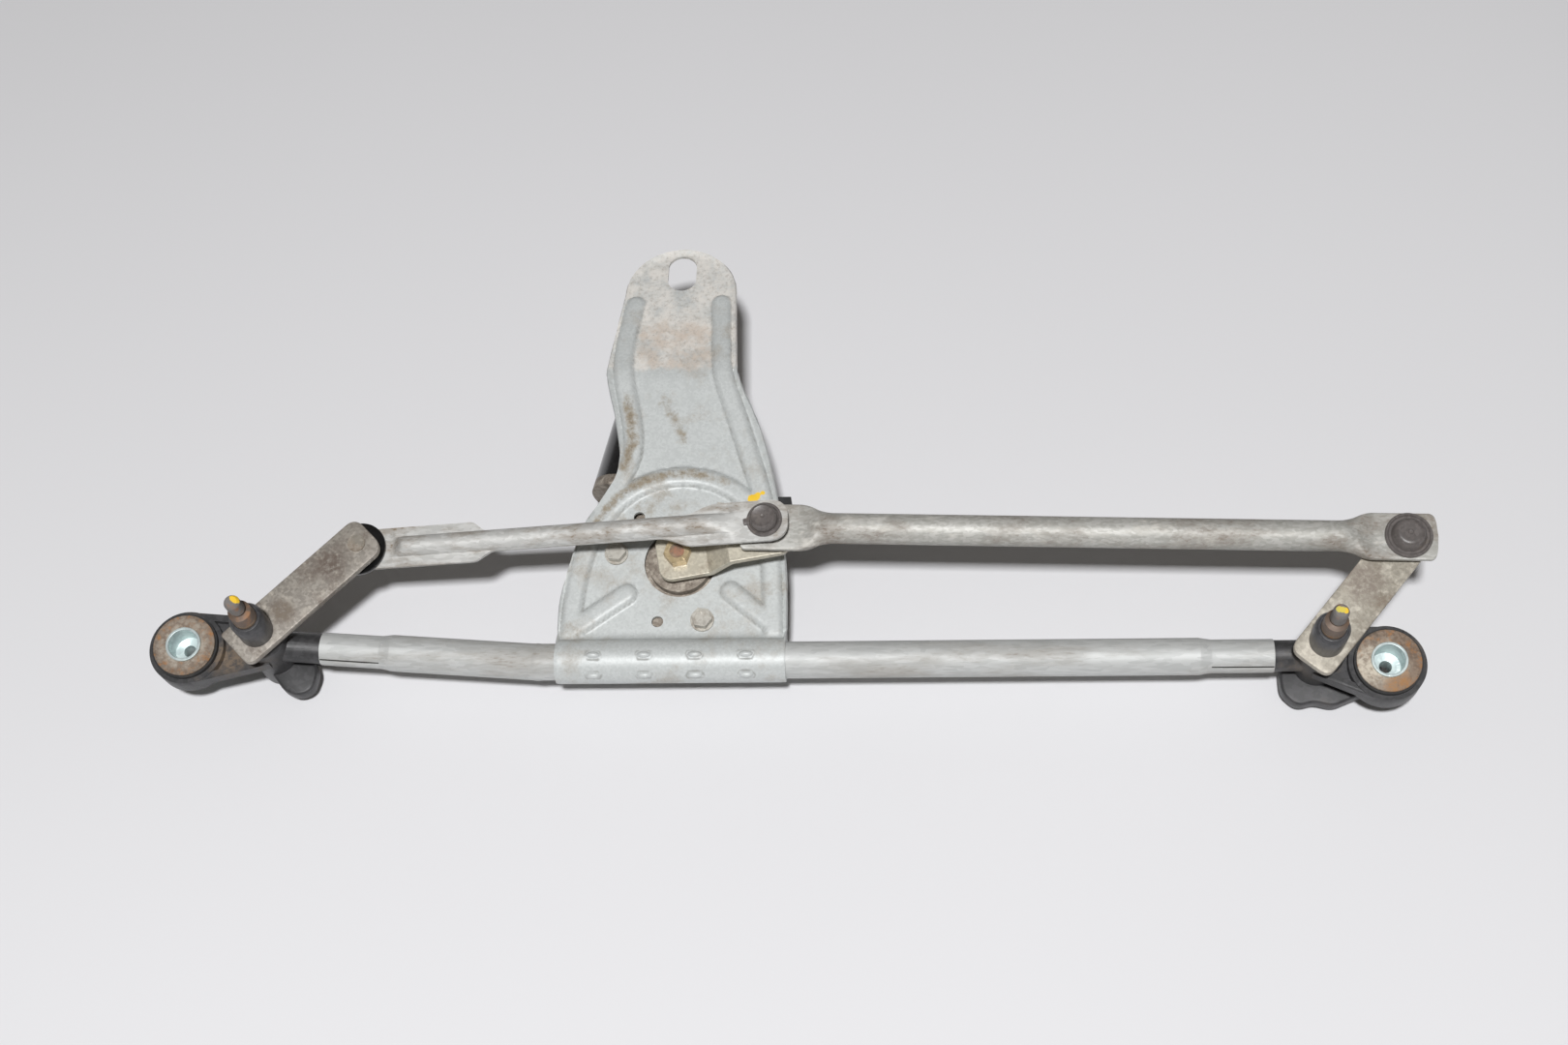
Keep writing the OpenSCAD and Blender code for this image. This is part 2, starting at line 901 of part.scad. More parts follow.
// Socket that snaps into a link: collar below the flat, flange and dome above it
module socket(flange_r, dome_top, flat_t, collar_low) {
    difference() {
        union() {
            rod(socket_r + 0.4, -collar_low, flat_t / 2 + 1.6);
            rod(flange_r, flat_t / 2, flat_t / 2 + 1.6);
            rotate_extrude()
                polygon([[0, 0], [socket_r + 0.4, 0], [socket_r + 0.4, flat_t / 2 + 2.4],
                    [socket_r - 1.2, dome_top - 1], [socket_r - 2.6, dome_top], [0, dome_top]]);
        }
        sphere(r = cavity_r);
        rod(mouth_r, -collar_low - 1, 0);
    }
}

// Left link: rolled bar with pressed flat ends, tilted up to the crank
module on_left_link() {
    at_point(left_ball, left_outer_z, left_link_yaw)
        rotate([0, -left_link_pitch, 0])
            children();
}

left_link_run = left_link_len / cos(left_link_pitch);

module left_link() {
    bar_r = left_link_d / 2;
    color([0.7, 0.7, 0.68])
        on_floor()
            difference() {
                union() {
                    intersection() {
                        on_left_link()
                            translate([0, 0, -left_link_t / 2])
                                rounded_bar(-12.5, 74, 23, 9, left_link_t);
                        on_left_link()
                            translate([-20, -20, -20])
                                cube([90, 40, 40]);
                    }
                    on_left_link() {
                        translate([left_link_run - 78, 0, -left_link_t / 2])
                            rounded_bar(0, 90.5, 23, 9, left_link_t);
                        translate([26, 0, 1])
                            rotate([0, 90, 0])
                                cylinder(r = bar_r, h = left_link_run - 62);
                        translate([26, 0, 1])
                            sphere(r = bar_r);
                        translate([left_link_run - 36, 0, 1])
                            sphere(r = bar_r);
                    }
                }
                on_left_link() {
                    rod(socket_r + 0.4, -10, 10);
                    translate([left_link_run, 0, 0])
                        rod(socket_r + 0.4, -10, 10);
                }
            }
}

module left_link_outer_socket() {
    color([0.03, 0.03, 0.03])
        on_floor()
            on_left_link() {
                rotate([180, 0, 0])
                    socket(11.5, 8.6, left_link_t, 3);
                difference() {
                    rod(14.8, left_link_t / 2, left_link_t / 2 + 2);
                    rod(mouth_r, -big, big);
                    sphere(r = cavity_r);
                }
            }
}

module left_link_crank_socket() {
    color([0.2, 0.2, 0.2])
        on_floor()
            on_left_link()
                translate([left_link_run, 0, 0])
                    socket(9.6, 8, left_link_t, 3.6);
}

module left_ball_stud() {
    color([0.6, 0.6, 0.6])
        on_floor()
            at_point(left_ball, left_outer_z) {
                sphere(r = ball_r);
                rod(neck_r, 0, ball_rise - face_gap);
                rod(shoulder_r, ball_rise - face_gap - 0.9, ball_rise - face_gap);
            }
}

// Right link: tube with flattened ends
module on_right_link() {
    at_point(crank_pin, right_link_z, right_link_yaw)
        children();
}

flat_t = 3.2;
flat_w = 26;

module flat_end(x0, x1, corner) {
    translate([0, 0, -flat_t / 2])
        rounded_bar(x0, x1, flat_w, corner, flat_t);
}

// Wedge between the flat and the round of the tube
module tube_taper(x0, x1) {
    rr = right_link_od / 2;
    intersection() {
        translate([0, flat_w / 2, 0])
            rotate([90, 0, 0])
                linear_extrude(height = flat_w)
                    polygon([[x0, -flat_t / 2], [x1, -rr - 1], [x1, rr + 1], [x0, flat_t / 2]]);
        translate([0, 0, -rr - 2])
            linear_extrude(height = 2 * rr + 4)
                polygon([[x0, -flat_w / 2], [x1, -rr - 1], [x1, rr + 1], [x0, flat_w / 2]]);
    }
}

module right_link() {
    rr = right_link_od / 2;
    color([0.68, 0.67, 0.63])
        on_floor()
            on_right_link()
                difference() {
                    union() {
                        flat_end(-13, 18, 7);
                        flat_end(right_link_len - 18, right_link_len + 14, 7);
                        translate([32, 0, 0])
                            rotate([0, 90, 0])
                                cylinder(r = rr, h = right_link_len - 60);
                        intersection() {
                            tube_taper(14, 33);
                            translate([32, 0, 0])
                                rotate([0, -90, 0])
                                    cylinder(r1 = rr, r2 = 15.5, h = 23);
                        }
                        intersection() {
                            tube_taper(right_link_len - 14, right_link_len - 29);
                            translate([right_link_len - 28, 0, 0])
                                rotate([0, 90, 0])
                                    cylinder(r1 = rr, r2 = 15.5, h = 19);
                        }
                    }
                    translate([34, 0, 0])
                        rotate([0, 90, 0])
                            cylinder(r = rr - 1.5, h = right_link_len - 64);
                    rod(socket_r, -20, 20);
                    translate([right_link_len, 0, 0])
                        rod(socket_r + 0.4, -20, 20);
                }
}

module right_link_outer_socket() {
    color([0.2, 0.19, 0.18])
        on_floor()
            at_point(right_ball, right_link_z)
                socket(12.4, 8.6, flat_t, 4.8);
}

module right_link_crank_socket() {
    color([0.2, 0.19, 0.18])
        on_floor()
            at_point(crank_pin, right_link_z)
                difference() {
                    union() {
                        rod(socket_r, -4.8, 4.6);
                        rod(12, -flat_t / 2 - 1.6, -flat_t / 2);
                        rod(socket_r + 1.4, flat_t / 2, flat_t / 2 + 1.4);
                    }
                    sphere(r = cavity_r);
                    rod(mouth_r, -10, 10);
                }
}

module right_ball_stud() {
    color([0.6, 0.6, 0.6])
        on_floor()
            at_point(right_ball, right_link_z)
                rotate([180, 0, 0]) {
                    sphere(r = ball_r);
                    rod(neck_r, 0, ball_rise - face_gap);
                    rod(shoulder_r, ball_rise - face_gap - 0.9, ball_rise - face_gap);
                }
}

// Levers: flat bars, pressed on the shaft collars, with a riveted ball seat
collar_r = 10;

module lever(shaft, turn) {
    at_point(shaft, lever_low, turn)
        difference() {
            rounded_bar(-15.5, lever_len + 12, lever_w, 7, lever_t);
            rod(collar_r, -big, big);
            translate([lever_len, 0, 0])
                rod(3.2, -big, big);
        }
}

module left_lever() {
    color([0.55, 0.5, 0.45])
        on_floor()
            lever(left_shaft, left_lever_rest);
}

module right_lever() {
    color([0.55, 0.5, 0.45])
        on_floor()
            lever(right_shaft, right_lever_rest);
}

// Shaft: bearing length with a groove, collar in the lever, taper and thread
module wiper_shaft(shaft, low) {
    color([0.45, 0.33, 0.25])
        on_floor()
            at_point(shaft)
                rotate_extrude()
                    polygon([[0, low + 1], [shaft_r - 0.6, low + 1], [shaft_r, low + 1.6],
                        [shaft_r, low + 2.2], [shaft_r - 0.6, low + 2.2], [shaft_r - 0.6, low + 3.4],
                        [shaft_r, low + 3.4], [shaft_r, barrel_top + face_gap],
                        [collar_r - 1, barrel_top + face_gap], [collar_r - 1, lever_low - 0.6],
                        [collar_r, lever_low], [collar_r, lever_top - 1], [6.4, lever_top - 1],
                        [6.4, lever_top + 27], [6.1, lever_top + 33], [thread_r - 0.5, lever_top + 34],
                        [thread_r - 0.5, lever_top + 36], [thread_r, lever_top + 36.5],
                        [thread_r, tip_z - 1], [thread_r - 0.9, tip_z], [0, tip_z]]);
}

module left_wiper_shaft() {
    wiper_shaft(left_shaft, left_barrel_low);
}

module right_wiper_shaft() {
    wiper_shaft(right_shaft, barrel_low);
}

module shaft_sleeve(shaft) {
    color([0.22, 0.22, 0.23])
        on_floor()
            at_point(shaft)
                rotate_extrude()
                    polygon([[6.4, lever_top - 1], [9.2, lever_top - 1], [9.2, lever_top + 20],
                        [8, lever_top + 22.5], [6.4, lever_top + 22.5]]);
}

module left_shaft_sleeve() {
    shaft_sleeve(left_shaft);
}

module right_shaft_sleeve() {
    shaft_sleeve(right_shaft);
}

module circlip(shaft, low) {
    color([0.3, 0.3, 0.3])
        on_floor()
            at_point(shaft)
                difference() {
                    rod(circlip_r, low + 2.25, low + 3.35);
                    rod(shaft_r - 0.6, -big, big);
                    translate([0, -1.5, low])
                        cube([20, 3, 8]);
                }
}

module left_circlip() {
    circlip(left_shaft, left_barrel_low);
}

module right_circlip() {
    circlip(right_shaft, barrel_low);
}

// Rivet ends of the ball studs, closed over the outer face of each lever
module left_lever_rivet() {
    color([0.6, 0.58, 0.52])
        on_floor()
            at_point(left_ball) {
                rod(3.2, lever_low, lever_top);
                rod(4.8, lever_top, lever_top + 1);
            }
}

module right_lever_rivet() {
    color([0.6, 0.58, 0.52])
        on_floor()
            at_point(right_ball) {
                rod(3.2, lever_low, lever_top);
                rod(4.8, lever_low - 1.2, lever_low);
            }
}

frame_tube();
motor_plate();
left_pivot_housing();
right_pivot_housing();
left_bearing_bush();
right_bearing_bush();
left_bush_rubber();
right_bush_rubber();
left_bush_sleeve();
right_bush_sleeve();
left_bush_washer();
right_bush_washer();
gear_housing();
gear_cover();
cover_screws();
motor_can();
can_screws();
connector();
motor_bolts();
output_bearing();
output_shaft();
worm_wheel();
crank_arm();
crank_nut();
double_ball_stud();
left_link();
left_link_outer_socket();
left_link_crank_socket();
left_ball_stud();
right_link();
right_link_outer_socket();
right_link_crank_socket();
right_ball_stud();
left_lever();
left_wiper_shaft();
left_shaft_sleeve();
left_circlip();
left_lever_rivet();
right_lever();
right_wiper_shaft();
right_shaft_sleeve();
right_circlip();
right_lever_rivet();
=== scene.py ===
import json
import math

import bpy
import bmesh
from mathutils import Matrix, Vector
from mathutils.geometry import delaunay_2d_cdt


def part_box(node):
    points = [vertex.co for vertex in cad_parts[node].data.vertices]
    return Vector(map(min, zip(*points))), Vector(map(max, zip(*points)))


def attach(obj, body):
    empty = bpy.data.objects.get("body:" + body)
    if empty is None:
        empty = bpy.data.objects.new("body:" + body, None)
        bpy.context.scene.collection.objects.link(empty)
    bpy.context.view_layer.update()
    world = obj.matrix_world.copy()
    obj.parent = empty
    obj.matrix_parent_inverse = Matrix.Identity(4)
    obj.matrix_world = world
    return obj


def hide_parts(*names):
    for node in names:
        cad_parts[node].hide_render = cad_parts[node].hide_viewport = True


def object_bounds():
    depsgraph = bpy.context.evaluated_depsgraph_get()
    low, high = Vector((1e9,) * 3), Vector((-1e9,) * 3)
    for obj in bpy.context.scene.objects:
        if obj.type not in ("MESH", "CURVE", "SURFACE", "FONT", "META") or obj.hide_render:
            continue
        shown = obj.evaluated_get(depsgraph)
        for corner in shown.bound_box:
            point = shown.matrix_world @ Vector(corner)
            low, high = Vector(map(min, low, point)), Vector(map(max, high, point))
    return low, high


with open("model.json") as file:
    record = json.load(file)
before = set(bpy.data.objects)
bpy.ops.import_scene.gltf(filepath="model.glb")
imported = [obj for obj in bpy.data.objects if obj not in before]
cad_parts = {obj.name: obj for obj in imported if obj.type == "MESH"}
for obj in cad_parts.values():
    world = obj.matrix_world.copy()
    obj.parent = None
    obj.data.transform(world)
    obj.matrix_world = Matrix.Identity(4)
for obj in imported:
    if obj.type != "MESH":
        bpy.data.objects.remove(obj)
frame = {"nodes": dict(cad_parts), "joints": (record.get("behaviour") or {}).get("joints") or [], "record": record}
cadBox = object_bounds()
nodes = frame["nodes"]
joints = {joint["name"]: joint for joint in frame["joints"]}
mm = 0.001
print("frame loaded:", len(nodes), "nodes")

# the linkage's own axes, from the crank's: across along the tube, ahead to the plate head, out along the shafts
out = Vector(joints["crank_turn"]["axis"]).normalized()
across = Vector((1, 0, 0))
ahead = out.cross(across)
middle = Vector(joints["crank_turn"]["pos_m"])


def place(x, y, z):  # millimetres on the linkage's axes to the frame
    return middle + (across * x + ahead * y + out * z) * mm


def localOf(point):  # a point of the frame in millimetres on the linkage's axes
    d = (Vector(point) - middle) / mm
    return Vector((d.dot(across), d.dot(ahead), d.dot(out)))


linkage = dict(leverLength=71, leftRest=44.5, rightRest=50.5, leftOuterZ=14, leftInnerZ=41.3, rightZ=31.5, tubeY=-56.2,
               plateFace=2.6, leverFace=25, shaftTip=73.6, crankTip=20.4)
leftShaft = localOf(joints["left_shaft_turn"]["pos_m"])
rightShaft = localOf(joints["right_shaft_turn"]["pos_m"])
crankPin = localOf(joints["left_link_swing"]["pos_m"])


def leverBall(shaft, turn, z):
    a, reach = math.radians(turn), linkage["leverLength"]
    return Vector((shaft.x + reach * math.cos(a), shaft.y + reach * math.sin(a), z))


leftBall = leverBall(leftShaft, linkage["leftRest"], linkage["leftOuterZ"])
rightBall = leverBall(rightShaft, linkage["rightRest"], linkage["rightZ"])
leftCrankEnd = Vector((crankPin.x, crankPin.y, linkage["leftInnerZ"]))
rightCrankEnd = Vector((crankPin.x, crankPin.y, linkage["rightZ"]))


def meshPiece(name, verts, faces, smooth=True):
    mesh = bpy.data.meshes.new(name)
    mesh.from_pydata([tuple(v) for v in verts], [], faces)
    bm = bmesh.new()
    bm.from_mesh(mesh)
    bmesh.ops.recalc_face_normals(bm, faces=bm.faces)
    bm.to_mesh(mesh)
    bm.free()
    mesh.polygons.foreach_set("use_smooth", [smooth] * len(mesh.polygons))
    piece = bpy.data.objects.new(name, mesh)
    bpy.context.scene.collection.objects.link(piece)
    return piece


def applyModifiers(piece):
    graph = bpy.context.evaluated_depsgraph_get()
    mesh = bpy.data.meshes.new_from_object(piece.evaluated_get(graph))
    piece.modifiers.clear()
    piece.data = mesh
    return piece


def shadeSmooth(piece, sharp):  # smooth faces, with edges past an angle kept sharp
    piece.data.polygons.foreach_set("use_smooth", [True] * len(piece.data.polygons))
    piece.data.set_sharp_from_angle(angle=math.radians(sharp))
    return piece


def softBevel(piece, width, segments, sharp):
    bevel = piece.modifiers.new("softEdges", "BEVEL")
    bevel.width = width * mm
    bevel.segments = segments
    bevel.limit_method = "ANGLE"
    bevel.angle_limit = math.radians(sharp)
    return bevel


def ringFaces(rows, count):  # quads between rings of points, and a cap at each end
    faces = []
    for i in range(rows - 1):
        for k in range(count):
            n = (k + 1) % count
            faces.append((i * count + k, i * count + n, (i + 1) * count + n, (i + 1) * count + k))
    return faces + [tuple(range(count - 1, -1, -1)), tuple(range((rows - 1) * count, rows * count))]


# shader groups that the finishes share
def newGroup(name, vectors, values, outputs):
    group = bpy.data.node_groups.new(name, "ShaderNodeTree")
    for label in vectors:
        group.interface.new_socket(label, in_out="INPUT", socket_type="NodeSocketVector")
    for label, value in values.items():
        group.interface.new_socket(label, in_out="INPUT", socket_type="NodeSocketFloat").default_value = value
    for label in outputs:
        group.interface.new_socket(label, in_out="OUTPUT", socket_type="NodeSocketFloat")
    return group, group.nodes.new("NodeGroupInput"), group.nodes.new("NodeGroupOutput")


def feed(tree, socket, item):  # a number or a colour is set on the socket, an output is linked to it
    if isinstance(item, (int, float)):
        socket.default_value = item
    elif isinstance(item, (tuple, list)):
        socket.default_value = (*item, 1)
    else:
        tree.links.new(item, socket)


def noiseNode(tree, vector, scale, detail=4.0, rough=0.6):
    node = tree.nodes.new("ShaderNodeTexNoise")
    node.inputs["Detail"].default_value = detail
    node.inputs["Roughness"].default_value = rough
    tree.links.new(vector, node.inputs["Vector"])
    feed(tree, node.inputs["Scale"], scale)
    return node.outputs["Fac"]


def spread(tree, value, low, high, toLow=0.0, toHigh=1.0):
    node = tree.nodes.new("ShaderNodeMapRange")
    node.interpolation_type = "SMOOTHSTEP"
    node.inputs["To Min"].default_value = toLow
    node.inputs["To Max"].default_value = toHigh
    tree.links.new(value, node.inputs["Value"])
    feed(tree, node.inputs["From Min"], low)
    feed(tree, node.inputs["From Max"], high)
    return node.outputs["Result"]


def sums(tree, operation, a, b):
    node = tree.nodes.new("ShaderNodeMath")
    node.operation = operation
    feed(tree, node.inputs[0], a)
    feed(tree, node.inputs[1], b)
    return node.outputs[0]


def mixColour(tree, factor, a, b):
    node = tree.nodes.new("ShaderNodeMix")
    node.data_type = "RGBA"
    for i, item in ((0, factor), (6, a), (7, b)):
        feed(tree, node.inputs[i], item)
    return node.outputs[2]


def makeStainGroup():  # broad stains broken up by fine specks
    group, inside, outside = newGroup("stains", ("Vector",), dict(Scale=30, Cover=0.4), ("Mask", "Specks"))
    broad = noiseNode(group, inside.outputs["Vector"], inside.outputs["Scale"], 6, 0.65)
    fine = noiseNode(group, inside.outputs["Vector"], 900, 3, 0.6)
    low = sums(group, "SUBTRACT", 0.86, inside.outputs["Cover"])
    high = sums(group, "ADD", low, 0.2)
    blot = spread(group, broad, low, high)
    speck = spread(group, fine, 0.5, 0.72)
    group.links.new(blot, outside.inputs["Mask"])
    group.links.new(speck, outside.inputs["Specks"])
    return group


def makeZincGroup():  # crystals of a galvanised skin and its fine grain
    group, inside, outside = newGroup("zincSkin", ("Vector",), dict(Scale=260), ("Crystal", "Grain"))
    cells = group.nodes.new("ShaderNodeTexVoronoi")
    cells.inputs["Randomness"].default_value = 1
    group.links.new(inside.outputs["Vector"], cells.inputs["Vector"])
    group.links.new(inside.outputs["Scale"], cells.inputs["Scale"])
    split = group.nodes.new("ShaderNodeSeparateColor")
    group.links.new(cells.outputs["Color"], split.inputs[0])
    grain = noiseNode(group, inside.outputs["Vector"], 2200, 3, 0.7)
    soft = noiseNode(group, inside.outputs["Vector"], 120, 4, 0.6)
    crystal = sums(group, "ADD", sums(group, "MULTIPLY", split.outputs[0], 0.45), sums(group, "MULTIPLY", soft, 0.55))
    group.links.new(crystal, outside.inputs["Crystal"])
    group.links.new(grain, outside.inputs["Grain"])
    return group


def makeDabGroup():  # a ragged dab of paint, dirt or rust round one point
    group, inside, outside = newGroup("paintDab", ("Vector", "Centre"), dict(Radius=0.006, Soft=0.1), ("Mask",))
    rim = 1.52
    away = group.nodes.new("ShaderNodeVectorMath")
    away.operation = "DISTANCE"
    group.links.new(inside.outputs["Vector"], away.inputs[0])
    group.links.new(inside.outputs["Centre"], away.inputs[1])
    ragged = sums(group, "MULTIPLY", noiseNode(group, inside.outputs["Vector"], 260, 3, 0.6), 1.1)
    reach = sums(group, "DIVIDE", away.outputs["Value"], inside.outputs["Radius"])
    low = sums(group, "ADD", inside.outputs["Soft"], rim)
    high = sums(group, "SUBTRACT", rim, inside.outputs["Soft"])
    group.links.new(spread(group, sums(group, "ADD", reach, ragged), low, high), outside.inputs["Mask"])
    return group


stainGroup, zincGroup, dabGroup = makeStainGroup(), makeZincGroup(), makeDabGroup()


def useGroup(tree, group, vector, **values):
    node = tree.nodes.new("ShaderNodeGroup")
    node.node_tree = group
    tree.links.new(vector, node.inputs["Vector"])
    for label, value in values.items():
        node.inputs[label].default_value = value
    return node


finishSet = dict(zoneBlur=0.0006, mottledFrom=0.3, mottle=330, reliefDepth=0.0004, coatRough=0.15, dullMetal=0.25)


def newFinish(name, colour, darker, stain, stainScale=30, cover=0.35, metal=1.0, rough=(0.3, 0.5), bump=0.1, crystal=260,
              stretch=(1, 1, 1), rust=None, rustCover=0.3, dabs=(), coat=0.0, worn=(), zones=()):
    mat = bpy.data.materials.new(name)
    mat.use_nodes = True
    tree = mat.node_tree
    tree.nodes.clear()
    end = tree.nodes.new("ShaderNodeOutputMaterial")
    skin = tree.nodes.new("ShaderNodeBsdfPrincipled")
    tree.links.new(skin.outputs[0], end.inputs[0])
    coords = tree.nodes.new("ShaderNodeTexCoord")
    turn = tree.nodes.new("ShaderNodeMapping")
    turn.inputs["Scale"].default_value = stretch
    tree.links.new(coords.outputs["Object"], turn.inputs["Vector"])
    vector = turn.outputs["Vector"]
    zinc = useGroup(tree, zincGroup, vector, Scale=crystal)
    stains = useGroup(tree, stainGroup, vector, Scale=stainScale, Cover=cover)
    base = mixColour(tree, spread(tree, zinc.outputs["Crystal"], 0.3, 0.72), darker, colour)
    broken = sums(tree, "ADD", sums(tree, "MULTIPLY", stains.outputs["Specks"], 0.5), 0.5)
    mask = sums(tree, "MULTIPLY", stains.outputs["Mask"], broken)
    base = mixColour(tree, mask, base, stain)
    dull = mask
    for low, high, tint in zones:  # colours that follow the height along the shafts
        level = tree.nodes.new("ShaderNodeVectorMath")
        level.operation = "DOT_PRODUCT"
        level.inputs[1].default_value = out
        tree.links.new(coords.outputs["Object"], level.inputs[0])
        blur = finishSet["zoneBlur"]
        ragged = sums(tree, "ADD", level.outputs["Value"], sums(tree, "MULTIPLY", stains.outputs["Specks"], blur))
        zone = sums(tree, "MULTIPLY", spread(tree, ragged, low, low + blur), spread(tree, ragged, high, high - blur))
        base = mixColour(tree, sums(tree, "MULTIPLY", zone, 0.85), base, tint)
    for label, tint, scale in worn:  # patches drawn by an attribute of the piece
        drawn = tree.nodes.new("ShaderNodeAttribute")
        drawn.attribute_name = label
        cloud = noiseNode(tree, vector, scale, 7, 0.72)
        fac = drawn.outputs["Fac"]
        clouded = sums(tree, "ADD", sums(tree, "MULTIPLY", fac, 0.52), sums(tree, "MULTIPLY", cloud, 1.1))
        patch = sums(tree, "MULTIPLY", spread(tree, clouded, 0.8, 1.2), spread(tree, fac, 0.02, 0.3))
        base = mixColour(tree, patch, base, tint)
        dull = sums(tree, "MAXIMUM", dull, patch)
    if rust:
        spots = useGroup(tree, stainGroup, vector, Scale=stainScale * 2.3, Cover=rustCover)
        base = mixColour(tree, spots.outputs["Mask"], base, rust)
        dull = sums(tree, "MAXIMUM", mask, spots.outputs["Mask"])
    for centre, radius, tint, soft in dabs:
        dab = useGroup(tree, dabGroup, coords.outputs["Object"], Centre=centre, Radius=radius, Soft=soft).outputs["Mask"]
        if soft > finishSet["mottledFrom"]:  # soft dabs are stains, not paint
            mottle = noiseNode(tree, vector, finishSet["mottle"], 6, 0.7)
            dab = sums(tree, "MULTIPLY", dab, spread(tree, mottle, 0.36, 0.6, 0.2, 1))
        base = mixColour(tree, dab, base, tint)
        dull = sums(tree, "MAXIMUM", dull, dab)
    tree.links.new(base, skin.inputs["Base Color"])
    if metal:
        tree.links.new(spread(tree, dull, 0, 1, metal, metal * finishSet["dullMetal"]), skin.inputs["Metallic"])
    uneven = sums(tree, "ADD", sums(tree, "MULTIPLY", zinc.outputs["Grain"], 0.5), sums(tree, "MULTIPLY", dull, 0.6))
    tree.links.new(spread(tree, uneven, 0.1, 0.9, rough[0], rough[1]), skin.inputs["Roughness"])
    skin.inputs["Coat Weight"].default_value = coat
    skin.inputs["Coat Roughness"].default_value = finishSet["coatRough"]
    relief = tree.nodes.new("ShaderNodeBump")
    relief.inputs["Strength"].default_value = bump
    relief.inputs["Distance"].default_value = finishSet["reliefDepth"]
    height = sums(tree, "ADD", zinc.outputs["Grain"], sums(tree, "MULTIPLY", mask, 0.6))
    tree.links.new(height, relief.inputs["Height"])
    tree.links.new(relief.outputs["Normal"], skin.inputs["Normal"])
    return mat


def dabBy(base, shift, z, radius, tint, soft=0.1):  # a dab beside a point of the linkage
    return tuple(place(base.x + shift[0], base.y + shift[1], z)), radius * mm, tint, soft


washers = {}
for side in ("left", "right"):
    low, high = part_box(side + "_bush_washer")
    washers[side] = localOf((Vector(low) + Vector(high)) / 2)
leftWasher, rightWasher, crankMiddle = washers["left"], washers["right"], Vector((0, 0, 0))
markYellow, paleRust = (0.85, 0.55, 0.03), (0.4, 0.355, 0.295)
plateFace, leverFace, shaftTip = linkage["plateFace"], linkage["leverFace"], linkage["shaftTip"]
tipDabs = [
    dabBy(leftShaft, (3.0, 2.3), shaftTip, 3.3, markYellow),
    dabBy(rightShaft, (2.2, 0.2), shaftTip, 1.7, markYellow),
    dabBy(rightShaft, (-1.2, 0.9), shaftTip, 1.7, (0.6, 0.52, 0.1)),
    dabBy(rightShaft, (0.4, 0.6), shaftTip, 1.7, (0.68, 0.55, 0.08)),
    dabBy(crankMiddle, (1.5, -0.3), linkage["crankTip"], 3.2, (0.36, 0.16, 0.095), 0.4)]
plateDabs = [
    dabBy(crankMiddle, (39.3, 35.9), plateFace, 2.9, markYellow),
    dabBy(crankMiddle, (42.2, 37.9), plateFace, 2.5, markYellow),
    dabBy(crankMiddle, (45, 39.8), plateFace, 1.7, markYellow)]
bushDabs = [
    dabBy(leftWasher, (0, 0), leftWasher.z, 14, paleRust, 0.45),
    dabBy(rightWasher, (-5, -3), rightWasher.z, 13.5, paleRust, 0.45),
    dabBy(rightWasher, (-11, -3), rightWasher.z, 9, (0.6, 0.54, 0.44), 0.5),
    dabBy(rightWasher, (4, -14), rightWasher.z, 7, (0.36, 0.19, 0.08), 0.5)]
castDabs = [dabBy(leftWasher, (23, -6), leftWasher.z - 6, 9, (0.17, 0.125, 0.085), 0.55)]
leverDabs = [
    dabBy(leftShaft, (37, 38), leverFace, 9, (0.13, 0.1, 0.08), 0.55),
    dabBy(leftShaft, (13, 11), leverFace, 6, (0.18, 0.145, 0.11), 0.55)]
paleLeverDabs = [
    dabBy(rightShaft, (22, 33), leverFace, 11, (0.25, 0.21, 0.175), 0.6),
    dabBy(rightShaft, (32, 20), leverFace, 6, (0.24, 0.195, 0.15), 0.6)]
shaftLevel = middle.dot(out)
taperAt, threadAt, tipAt = (shaftLevel + z * mm for z in (50, 61.2, 80))
shaftZones = [(threadAt, tipAt, (0.19, 0.187, 0.185)), (taperAt, threadAt, (0.12, 0.085, 0.065))]
grime = (0.16, 0.11, 0.07)
